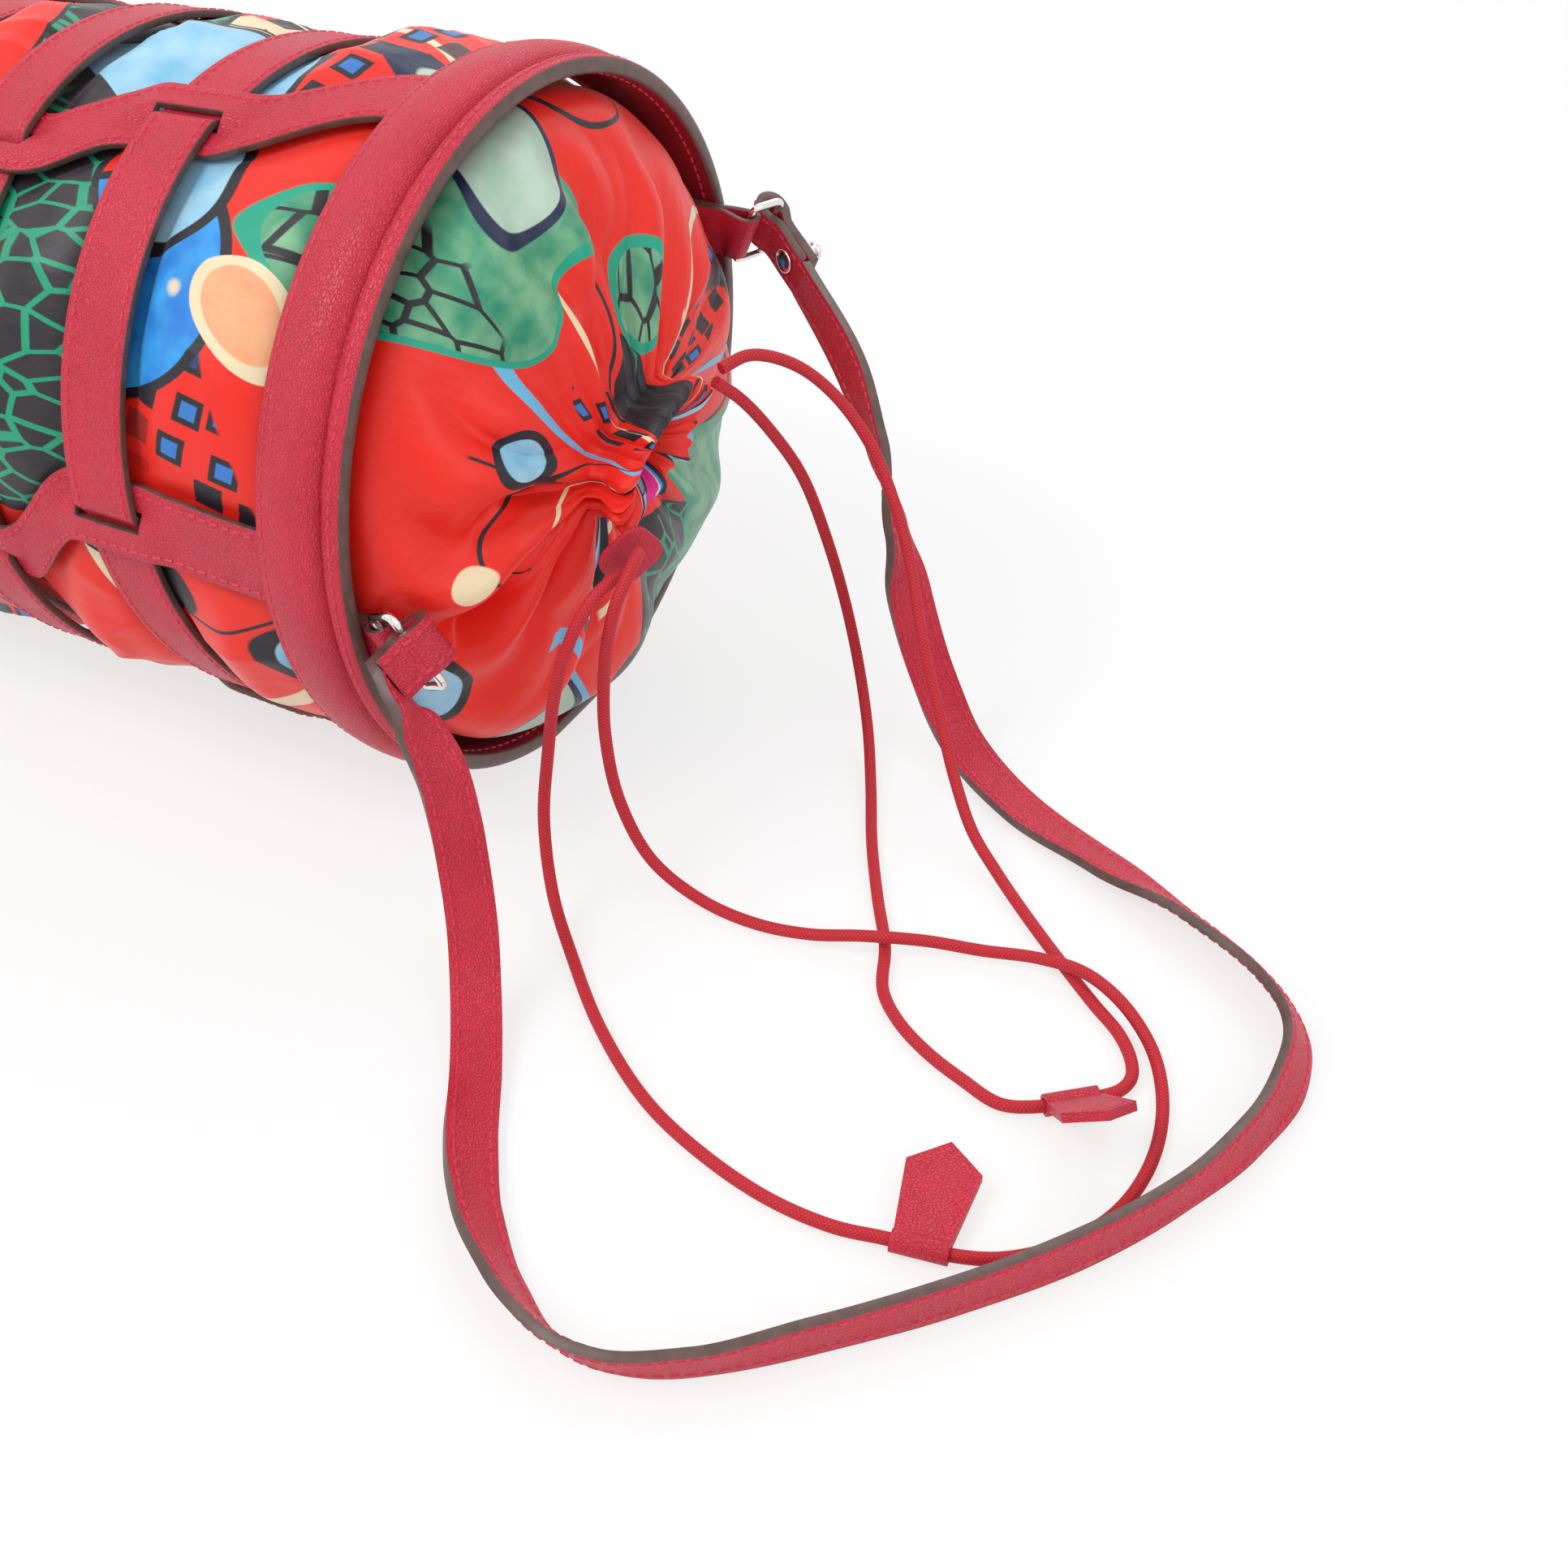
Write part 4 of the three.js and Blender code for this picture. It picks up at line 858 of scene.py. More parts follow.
def refined(node: str, name: str, material: bpy.types.Material, rounding: float,
            segments: int = 3) -> bpy.types.Object:
    """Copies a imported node, joins its loose triangles and rounds its edges.

    Args:
        node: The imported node.
        name: The new piece's name.
        material: Its finish.
        rounding: Width of the rounding, in metres.
        segments: Steps in the rounding.

    Returns:
        The new piece.
    """
    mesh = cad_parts[node].data.copy()
    mesh.name = name
    weld_mesh(mesh, 1e-5, 0.5)
    mesh.materials.clear()
    mesh.materials.append(material)
    piece = as_object(name, mesh, 40)
    round_edges(piece, rounding, segments)
    return piece


@dataclass
class Stitching:
    """Rows of short sunken stitches, collected and made as one piece."""

    name: str
    length: float = 2.9 * MM
    gap: float = 1.0 * MM
    radius: float = 0.52 * MM
    sink: float = 0.0
    rows: list = field(default_factory=list)

    def row(self, line: Array, out: Array, ring: bool = False) -> None:
        """Adds a row of stitches.

        Each stitch lies along the line at its own place, and its ends dip into the leather.

        Args:
            line: Points on the leather's face.
            out: Direction out of the leather at each point.
            ring: Whether the line closes on itself.
        """
        along = run_length(line)
        count = int(along[-1] / (self.length + self.gap))
        if count < 1:
            return
        middles = (np.arange(count) + 0.5) * along[-1] / count
        after, before = (sampled(line, along, middles + end * self.length / 2) for end in (1, -1))
        ahead = unit(after - before)
        up = sampled(out, along, middles)
        up = unit(up - np.sum(up * ahead, axis=1, keepdims=True) * ahead)
        self.rows.append((sampled(line, along, middles), ahead, up))

    def build(self, finishes: Finishes) -> bpy.types.Object:
        """Makes every stitch: a short round bar whose ends narrow and sink."""
        place, ahead, up = (np.concatenate(part) for part in zip(*self.rows))
        share = np.array([-1.0, -0.8, 0.8, 1.0])
        width = np.array([0.25, 0.95, 0.95, 0.25])
        dip = np.array([-1.0, -0.1, -0.1, -1.0])
        turn = np.linspace(0, 2 * np.pi, 7)
        side = np.cross(up, ahead)
        along = (share * self.length / 2)[:, None] * np.ones_like(turn)
        across = self.radius * width[:, None] * np.cos(turn)
        height = self.radius * (0.8 * width[:, None] * np.sin(turn) + 0.6 * dip[:, None]) - self.sink
        grids = place[:, None, None] + sum(
            reach[None, ..., None] * way[:, None, None]
            for reach, way in ((along, ahead), (across, side), (height, up)))
        count, rings, sides = grids.shape[:3]
        corner = np.arange(count * rings * sides).reshape(count, rings, sides)
        quads = np.stack([corner[:, :-1, :-1], corner[:, :-1, 1:], corner[:, 1:, 1:], corner[:, 1:, :-1]], -1)
        made = Surface(self.name, [finishes.thread])
        made.points.append(grids.reshape(-1, 3))
        made.faces.append(quads.reshape(-1, 4))
        made.maps.append(np.zeros((quads.size // 4, 4, 2)))
        made.slots.append(np.zeros(quads.size // 4, int))
        return made.build()


@dataclass
class CageForm:
    """The bag's round wall, which every band of the cage and the silk follow."""

    length: float = 250 * MM
    mouth_radius: float = 104.4 * MM
    base_radius: float = 96 * MM
    flat: float = 1.2 * MM
    crown: float = 4.4 * MM
    base_lift: float = 3.7 * MM
    band: float = 22 * MM
    thickness: float = 2.4 * MM
    weave: float = 1.4 * MM
    hoop_places: tuple = (-80 * MM, -144 * MM, -203 * MM)
    hoop_slants: tuple = (9 * MM, 5 * MM, 2 * MM)
    slit: float = 5.2 * MM
    slit_reach: float = 12 * MM
    fade: float = 12 * MM
    rim: float = 28 * MM
    base_wall: float = 20 * MM
    strap_angles: tuple = (
        (38, 50, 58, 60, 60),
        (100, 112, 121, 122, 122),
        (178, 177, 193, 194, 192),
        (236, 236, 250, 252, 251),
        (296, 296, 308, 310, 310),
        (346, 354, 364, 368, 368),
    )

    def radius(self, x: Array) -> Array:
        """Narrows in a straight line from the mouth to the base."""
        return mix(self.mouth_radius, self.base_radius, np.clip(-x / self.length, 0, 1))

    def axis_height(self, x: Array) -> Array:
        """Stands the axis so that the wall's flat underside lies along the floor."""
        at_mouth = self.mouth_radius - self.flat + self.crown
        at_base = self.base_radius - self.flat + self.base_lift
        return mix(at_mouth, at_base, np.clip(-x / self.length, 0, 1))

    def point(self, x: Array, angle: Array, rise: Array) -> Array:
        """Gives the point at x, at an angle round the axis and at a rise over the wall.

        The wall is a circle round the axis, cut flat where it lies on the floor.
        """
        x, angle, rise = np.broadcast_arrays(x, angle, rise)
        turn = np.radians(angle)
        radius = self.radius(x)
        down = np.maximum(-np.sin(turn), 0.1)
        reach = np.minimum(radius, (radius - self.flat) / down) + rise
        return np.stack([x, reach * np.cos(turn), self.axis_height(x) + reach * np.sin(turn)], -1)

    def pole(self, x: float, count: int) -> Array:
        """Gives a ring of points that all lie on the axis at x, which closes a surface."""
        return np.broadcast_to([x, 0.0, self.axis_height(x)], (1, count, 3))

    def hoop_centre(self, hoop: int, angle: Array) -> Array:
        """Gives the x of a hoop's centre line, which leans a little round the bag."""
        return self.hoop_places[hoop] - self.hoop_slants[hoop] * np.sin(np.radians(angle - 20))

    def stretches(self, strap: int) -> Array:
        """Lists where a lengthwise strap runs straight: rows of start, end and angle."""
        angles = self.strap_angles[strap]
        rows = [(0.0, -self.rim - 1 * MM, angles[0])]
        for hoop in range(3):
            x = self.hoop_centre(hoop, angles[hoop + 1])
            rows.append((x + self.slit_reach, x - self.slit_reach, angles[hoop + 1]))
        rows.append((-self.length + self.base_wall + 1 * MM, -self.length, angles[4]))
        return np.array(rows)

    def strap_angle(self, strap: int, x: Array) -> Array:
        """Gives a strap's angle at x, easing from one straight stretch to the next."""
        rows = self.stretches(strap)
        angle = np.full(np.shape(x), rows[0, 2])
        for before, here in zip(rows[:-1], rows[1:]):
            angle = angle + (here[2] - before[2]) * ease(-x, -before[1], -here[0])
        return angle

    def strap_rise(self, strap: int, half: Array, x: Array) -> Array:
        """Gives the rise of a strap's halves, which part round each hoop that passes through.

        Args:
            strap: Number of the strap.
            half: From -1 on one half to 1 on the other.
            x: Place along the bag.

        Returns:
            The rise over the wall.
        """
        angle = self.strap_angle(strap, x)
        rise = np.zeros(np.broadcast(half, x).shape)
        for hoop in range(3):
            off = np.abs(x - self.hoop_centre(hoop, angle)) - self.slit_reach
            swing = self.weave * (1 - ease(off, 0.0, self.fade))
            after = -1 if (strap + hoop) % 2 == 1 else 1
            before = -1 if (strap - 1 + hoop) % 2 == 1 else 1
            rise = rise + swing * mix(before, after, (half + 1) / 2)
        return rise


@dataclass
class Cage:
    """Rim, hoops, lengthwise straps, lining and base cup, with their stitching."""

    form: CageForm
    row_spacing: float = 1.6 * MM
    stitch_inset: float = 2.4 * MM
    rounding: float = 0.45 * MM

    def seam(self, stitching: Stitching, x: Array | float, angle: Array, rise: Array | float,
             side: int = 1) -> None:
        """Sews a row of stitches along the wall.

        Args:
            stitching: The rows so far.
            x: Place along the bag.
            angle: Angle round the axis.
            rise: Rise of the leather's face over the wall.
            side: 1 on a face that looks out and -1 on one that looks in.
        """
        line = self.form.point(x, angle, rise)
        stitching.row(line, side * (line - self.form.point(x, angle, rise - 10 * MM)))

    def strap(self, index: int, finishes: Finishes, stitching: Stitching) -> None:
        """Makes one lengthwise strap, slit along its middle where a hoop passes through."""
        form = self.form
        breaks = [-10 * MM]
        for start, end, _ in form.stretches(index)[1:4]:
            breaks += [start, end]
        breaks.append(-form.length + 3.3 * MM)
        x = np.concatenate([
            np.linspace(a, b, max(3, round((a - b) / self.row_spacing)), endpoint=False)
            for a, b in zip(breaks, breaks[1:])
        ] + [[breaks[-1]]])
        half = form.band / 2
        across = np.concatenate([np.linspace(-half, -form.slit / 2, 6), [-1 * MM, 1 * MM],
                                 np.linspace(form.slit / 2, half, 6)])
        wide, long = np.meshgrid(across, x)
        side = np.clip(wide / (form.slit / 2), -1, 1)
        angle = form.strap_angle(index, long) + np.degrees(wide / form.radius(long))
        points = form.point(long, angle, form.strap_rise(index, side, long))
        middle = (long[:-1] + long[1:])[:, :-1] / 2
        between = (wide[:, :-1] + wide[:, 1:])[:-1] / 2
        keep = np.ones(middle.shape, bool)
        for start, end, _ in form.stretches(index)[1:4]:
            keep &= ~((middle < start) & (middle > end) & (np.abs(between) < form.slit / 2))
        name = f"cage_strap_{index + 1}"
        lay = np.stack([-long, wide + 0.1 * index], -1)
        piece = Surface(f"strap_{index + 1}", [finishes.leather, finishes.edge]).grid(points, lay, keep)
        piece = piece.build(solid=False)
        thicken(piece, form.thickness, self.rounding)
        dress(piece, (name,))
        seen = x[x < -form.rim]
        for sign in (-1, 1):
            inset = sign * (half - self.stitch_inset)
            at = form.strap_angle(index, seen) + np.degrees(inset / form.radius(seen))
            rise = form.strap_rise(index, np.full(seen.shape, sign), seen)
            self.seam(stitching, seen, at, rise + form.thickness / 2)

    def hoop_rise(self, hoop: int, angle: Array) -> Array:
        """Gives a hoop's rise, which changes side in the slit of each lengthwise strap."""
        form = self.form
        centres = [form.strap_angles[strap][hoop + 1] for strap in range(6)]
        sign = [1 if (strap + hoop) % 2 == 1 else -1 for strap in range(6)]
        half = np.degrees((form.slit / 2 - 0.3 * MM) / form.radius(np.array(form.hoop_places[hoop])))
        turned = (angle - centres[0]) % 360 + centres[0]
        rise = np.full(np.shape(angle), float(sign[5]))
        rise = rise + (sign[0] - sign[5]) * ease(turned, centres[0] - half, centres[0] + half)
        for strap in range(1, 6):
            change = sign[strap] - sign[strap - 1]
            rise = rise + change * ease(turned, centres[strap] - half, centres[strap] + half)
        last = centres[0] + 360
        return form.weave * (rise + (sign[0] - sign[5]) * ease(turned, last - half, last + half))

    def hoop(self, index: int, finishes: Finishes, stitching: Stitching) -> None:
        """Makes one hoop, a band that weaves round the bag."""
        form = self.form
        name = ("front", "middle", "rear")[index]
        angle = FINE_TURN
        across = np.linspace(-form.band / 2, form.band / 2, 9)
        wide, turn = np.meshgrid(across, angle)
        points = form.point(form.hoop_centre(index, turn) + wide, turn, self.hoop_rise(index, turn))
        lay = np.stack([np.radians(turn) * form.mouth_radius, wide + 0.7 + 0.1 * index], -1)
        piece = Surface(f"woven_hoop_{name}", [finishes.leather, finishes.edge]).grid(points, lay)
        piece = piece.build(solid=False)
        thicken(piece, form.thickness, self.rounding)
        dress(piece, (f"hoop_{name}",))
        for sign in (-1, 1):
            at = form.hoop_centre(index, angle) + sign * (form.band / 2 - self.stitch_inset)
            self.seam(stitching, at, angle, self.hoop_rise(index, angle) + form.thickness / 2)

    def swept(self, name: str, profile: Array, materials: list, slots: Array) -> bpy.types.Object:
        """Carries a closed profile of x and rise round the bag."""
        turn = np.linspace(0, 360, 361)
        loop = np.vstack([profile, profile[:1]])
        points = self.form.point(loop[None, :, 0], turn[:, None], loop[None, :, 1])
        around = np.broadcast_to(run_length(loop)[None, :], points.shape[:2])
        along = np.broadcast_to((np.radians(turn) * self.form.mouth_radius)[:, None], points.shape[:2])
        lay = np.stack([along, around], -1)
        return Surface(name, materials).grid(points, lay, slot=slots[None, :]).build()

    def rim(self, finishes: Finishes, stitching: Stitching) -> None:
        """Makes the padded rim, its creased border and its painted edge."""
        outer = np.array([
            (-28.0, -1.2), (-28.0, 0.6), (-27.9, 1.5), (-27.3, 2.2), (-26.4, 2.6), (-25.4, 2.9),
            (-24.2, 3.3), (-22.6, 3.75), (-20.4, 4.15), (-17.8, 4.38), (-15.0, 4.38), (-12.6, 4.15),
            (-10.6, 3.65), (-9.0, 2.9), (-7.9, 2.0), (-7.2, 1.0), (-6.8, 0.35), (-6.4, 0.3), (-6.1, 0.8),
            (-5.6, 1.5), (-4.8, 1.85), (-3.4, 1.95), (-1.8, 1.9), (-0.9, 1.7), (-0.3, 1.3), (0.0, 0.7),
        ]) * MM
        face = np.array([
            (0.25, -0.2), (0.3, -1.2), (0.25, -2.2), (0.0, -2.9), (-0.5, -3.1), (-27.4, -1.45),
        ]) * MM
        profile = np.vstack([outer, face])
        slots = np.zeros(len(profile), int)
        slots[:3] = 1
        slots[len(outer) - 2:len(profile) - 2] = 1
        piece = self.swept("padded_rim", profile, [finishes.leather, finishes.edge], slots)
        dress(piece, ("rim_band",))
        for x, rise in ((-24.9 * MM, 3.02 * MM), (-3.1 * MM, 1.95 * MM)):
            self.seam(stitching, x, FINE_TURN, rise)

    def lining(self, finishes: Finishes, stitching: Stitching) -> None:
        """Makes the leather that lines the rim."""
        profile = np.array([
            (-27 * MM, -1.6 * MM), (-0.6 * MM, -1.6 * MM), (-0.6 * MM, LINING_FACE),
            (-26.5 * MM, LINING_FACE), (-27 * MM, -2.8 * MM),
        ])
        piece = self.swept("rim_lining_leather", profile, [finishes.lining, finishes.edge], np.zeros(5, int))
        dress(piece, ("rim_lining",))
        for x in (-4.3 * MM, -24.0 * MM):
            self.seam(stitching, x, FINE_TURN, LINING_FACE, -1)

    def base(self, finishes: Finishes, stitching: Stitching) -> None:
        """Makes the cup that closes the bag's base: a wall, a rounded corner and a round end."""
        form = self.form
        back = -form.length / MM
        outline = np.array([
            (back + 3.0, 1.5), (back + 19.6, 1.5), (back + 20.0, 1.9), (back + 20.0, 3.2), (back + 19.6, 3.7),
            (back + 4.0, 3.7), (back + 2.0, 3.6), (back + 0.8, 3.0), (back + 0.15, 2.0), (back, 0.8),
        ]) * MM
        turn = np.linspace(0, 360, 361)
        points = form.point(outline[:, :1], turn[None, :], outline[:, 1:])
        shares = np.array([0.985, 0.8, 0.55, 0.3, 0.12])[:, None, None]
        inside, end = (form.pole(x, len(turn)) for x in outline[[0, -1], 0])
        rings = [inside, points, mix(end, points[-1:], shares), end]
        points = np.concatenate(rings)
        centred = points - [0, 0, form.axis_height(-form.length)]
        slots = np.zeros(len(points) - 1, int)
        slots[2:4] = 1
        lay = np.stack([centred[..., 1] + 1.5, centred[..., 2] + points[..., 0]], -1)
        piece = Surface("base_leather", [finishes.leather, finishes.edge])
        dress(piece.grid(points, lay, slot=slots[:, None]).build(), ("base_cup",))
        self.seam(stitching, (back + 17.4) * MM, FINE_TURN, 3.7 * MM)

    def build(self, finishes: Finishes) -> None:
        """Makes the cage from its rim to its base."""
        stitching = Stitching("cage_stitches")
        self.rim(finishes, stitching)
        self.lining(finishes, stitching)
        self.base(finishes, stitching)
        for index in range(3):
            self.hoop(index, finishes, stitching)
        for index in range(6):
            self.strap(index, finishes, stitching)
        dress(stitching.build(finishes))


@dataclass
class Silk:
    """The gathered silk bag: its body in the cage, and the drawn dome at the mouth.

    Creases are the deep valleys that run from the rim to the neck: angle round the axis,
    depth in millimetres and half width in degrees. Casing is the ruffled neck's outline:
    size against the neck's oval, forward of the dome in millimetres, and how strongly the
    gathers show.
    """

    form: CageForm
    far_end: float = -246.6 * MM
    near_end: float = -16 * MM
    tuck: float = -8 * MM
    steepest: float = 88.0
    under: float = -3.5 * MM
    swell: float = 7.5 * MM
    dome: float = 34 * MM
    setback: float = 4.8 * MM
    slack: float = 10 * MM
    slack_angle: float = 45.0
    neck: tuple = (-19.5 * MM, 15 * MM)
    neck_long: float = 25 * MM
    neck_wide: float = 9 * MM
    neck_turn: float = 21.6
    creases: tuple = (
        (168, 8, 6), (190, 9, 6), (215, 5, 8), (140, 6, 7), (112, 6, 7), (85, 5, 7), (55, 5, 7), (20, 5, 8),
        (330, 5, 8), (290, 5, 8), (250, 5, 8),
    )
    casing: tuple = (
        (1.00, 0.0, 1.0), (0.96, 2.5, 1.0), (0.95, 5.0, 0.95), (1.00, 7.5, 1.05), (1.06, 10.0, 1.2),
        (1.07, 12.2, 1.25), (1.00, 13.7, 1.2), (0.86, 14.0, 1.0), (0.70, 12.6, 0.8), (0.54, 9.6, 0.55),
        (0.40, 5.6, 0.35), (0.27, 2.0, 0.15), (0.14, 0.0, 0.05), (0.0, -0.6, 0.0),
    )

    def openness(self, x: Array, angle: Array) -> Array:
        """Tells how far a place is from the cage's bands: 0 under them, 1 in mid-window.

        Across and along each window it is the sine of the share of the way between the
        bands, to the power 0.6.
        """
        form = self.form
        half = np.degrees((form.band / 2 + 1 * MM) / form.radius(x))
        across = np.zeros(np.broadcast(x, angle).shape)
        for strap in range(6):
            start = form.strap_angle(strap, x) + half
            after = form.strap_angle((strap + 1) % 6, x) + (360 if strap == 5 else 0) - half
            share = ((angle - start + 60) % 360 - 60) / (after - start)
            across = np.maximum(across, np.sin(np.pi * np.clip(share, 0, 1)) ** 0.6)
        edge = form.band / 2 + 1 * MM
        walls = [-form.rim - 1 * MM + 0 * angle]
        for hoop in range(3):
            centre = form.hoop_centre(hoop, angle)
            walls += [centre + edge, centre - edge]
        walls.append(-form.length + form.base_wall + 0 * angle)
        along = np.zeros(across.shape)
        for front, back in zip(walls[::2], walls[1::2]):
            share = (front - x) / (front - back)
            along = np.maximum(along, np.sin(np.pi * np.clip(share, 0, 1)) ** 0.6)
        return across * along

    def body(self, finishes: Finishes) -> None:
        """Makes the silk that swells out between the bands, with its slack folds."""
        form = self.form
        x = np.concatenate([[self.far_end], np.linspace(-240 * MM, self.near_end, 170)])[:, None]
        angle = np.linspace(0, 360, 521)[None, :]
        free = self.openness(x, angle)
        turn = np.radians(angle)
        place = np.stack(np.broadcast_arrays(x, np.cos(turn) * 0.1, np.sin(turn) * 0.1), -1)
        slack = waves(place * [1, 0.6, 0.6], 11, 5, 0.075)
        crinkles = 1 - np.abs(waves(place * [0.55, 1, 1], 23, 4, 0.06)) ** 0.7
        rise = self.under + self.swell * free * (0.92 + 0.12 * slack)
        rise = rise + 1.7 * MM * free * (crinkles - 0.5)
        near = ease(x, -29 * MM, -18 * MM)
        rise = mix(rise, self.tuck, near)
        points = form.point(x, angle, rise)
        points[..., 2] = np.maximum(points[..., 2], 0.3 * MM)
        ends = [form.pole(x, angle.size) for x in (self.far_end, self.near_end)]
        closed = np.concatenate([ends[0], points, ends[1]])
        lay = np.stack(np.broadcast_arrays(turn * 0.1, x), -1)
        lay = np.concatenate([lay[:1], lay, lay[-1:]])
        piece = Surface("silk_body", [finishes.silk]).grid(closed, lay).build()
        dress(piece, ("silk_pouch",))

    def neck_point(self, angle: Array, size: Array, forward: Array, wave: Array) -> Array:
        """Gives a point of the drawn neck: a leaning oval, pushed in and out by its gathers."""
        turn = np.radians(self.neck_turn)
        along = np.radians(angle) - turn
        u = (self.neck_long * size + wave) * np.cos(along)
        v = (self.neck_wide * size + wave) * np.sin(along)
        y = self.neck[0] + u * np.cos(turn) - v * np.sin(turn)
        z = self.neck[1] + u * np.sin(turn) + v * np.cos(turn)
        return np.stack(np.broadcast_arrays(forward, y, self.form.axis_height(0.0) + z), -1)

    def gathers(self, angle: Array, share: Array) -> Array:
        """Gives the height of the folds that run from the neck out to the rim.

        Rows of rounded ridges with sharp valleys, each |sin| of a count of turns whose
        phase wanders. The finer rows only live near the neck.

        Args:
            angle: Angle round the axis.
            share: 0 at the rim and 1 at the neck.

        Returns:
            The height out of the smooth dome.
        """
        turn = np.radians(angle)
        ring = np.stack([np.cos(turn), np.sin(turn)], -1)
        bend = 0.5 * waves(np.concatenate([ring, share[..., None] * 1.6], -1), 5, 5, 2.2)
        ridges = [np.abs(np.sin(count * turn + sway * bend + start)) - 0.64
                  for count, sway, start in ((3.5, 1.4, 0.5), (8, 2.4, 1.1), (14, 3.6, 0.3))]
        strong = 0.8 + 0.35 * waves(np.concatenate([ring, share[..., None]], -1), 31, 4, 1.4)
        sunk = ease(share, 0.05, 0.5) * (1 - 0.6 * ease(share, 0.85, 1))
        wander = 6 * waves(np.concatenate([ring, share[..., None] * 1.2], -1), 17, 3, 1.6)
        valleys = sum(depth * np.exp(-((((angle + wander - place + 180) % 360) - 180) / width) ** 2)
                      for place, depth, width in self.creases)
        return MM * (-sunk * valleys) + MM * strong * (
            5.0 * ease(share, 0.0, 0.42) * (1 - 0.62 * ease(share, 0.72, 1.0)) * ridges[0]
            + 5.2 * ease(share, 0.28, 0.78) * (1 - 0.25 * ease(share, 0.85, 1.0)) * ridges[1]
            + 1.9 * ease(share, 0.6, 0.95) * ridges[2]
        )

    def mouth(self, finishes: Finishes) -> None:
        """Makes the dome that closes the mouth, up to its ruffled neck."""
        form = self.form
        angle = FINE_TURN[None, :]
        share = np.linspace(0, 1, 84)[:, None]
        steep = np.radians(self.steepest * share)
        closing = 1 - np.cos(steep)
        droop = self.slack * np.maximum(np.cos(np.radians(angle - self.slack_angle)), 0) ** 2
        forward = -self.setback + (self.dome + self.setback) * np.sin(steep) - droop * (1 - closing)
        outer = form.radius(np.array(0.0)) + self.tuck
        turn = np.radians(angle)
        rim = np.stack(np.broadcast_arrays(forward, outer * np.cos(turn),
                                           form.axis_height(0.0) + outer * np.sin(turn)), -1)
        collar = self.neck_point(angle, np.array(1.0), forward, 0 * angle)
        smooth = mix(rim, collar, closing[..., None])
        along = np.gradient(smooth, axis=0)
        round_ = np.gradient(smooth, axis=1)
        out = np.cross(round_, along)
        out = unit(out / np.maximum(np.linalg.norm(out, axis=-1, keepdims=True), 1e-12))
        out *= np.where(out[-1, 0, 0] < 0, -1.0, 1.0)
        folded = smooth + out * self.gathers(angle + 0 * share, share + 0 * angle)[..., None]

        rows = curve_through(np.array(self.casing), 3)[0][1:]
        size, ahead, strength = rows[:, :1], self.dome + rows[:, 1:2] * MM, rows[:, 2:]
        folds = self.gathers(angle + 0 * size, 1 + 0 * (angle + size))
        casing = self.neck_point(angle, size, ahead + 0.5 * strength * folds, 0.8 * strength * folds)
        points = np.concatenate([folded, casing])
        back = form.pole(-27 * MM, angle.size)
        tuck = form.point(self.near_end - droop, angle, self.tuck - 0.4 * MM)
        points = np.concatenate([back, tuck, points])
        steps = np.linalg.norm(np.diff(smooth, axis=0), axis=-1).mean(axis=1)
        length = np.concatenate([[0, 0], 12 * MM + np.concatenate([[0], np.cumsum(steps)])])
        length = np.concatenate([length, length[-1] + 1.0 * MM * np.arange(1, len(rows) + 1)])
        lay = np.stack(np.broadcast_arrays(turn * 0.1, length[:, None] - 16 * MM), -1)
        piece = Surface("silk_mouth", [finishes.silk]).grid(points, lay).build(sharp=180)
        dress(piece, ("silk_pouch",))

    def build(self, finishes: Finishes) -> None:
        """Makes the silk, and the leather patch that the left cord leaves through."""
        self.body(finishes)
        self.mouth(finishes)
        patch = refined("exit_patch", "cord_patch", finishes.small_leather, 0.4 * MM)
        dress(patch, ("exit_patch",))


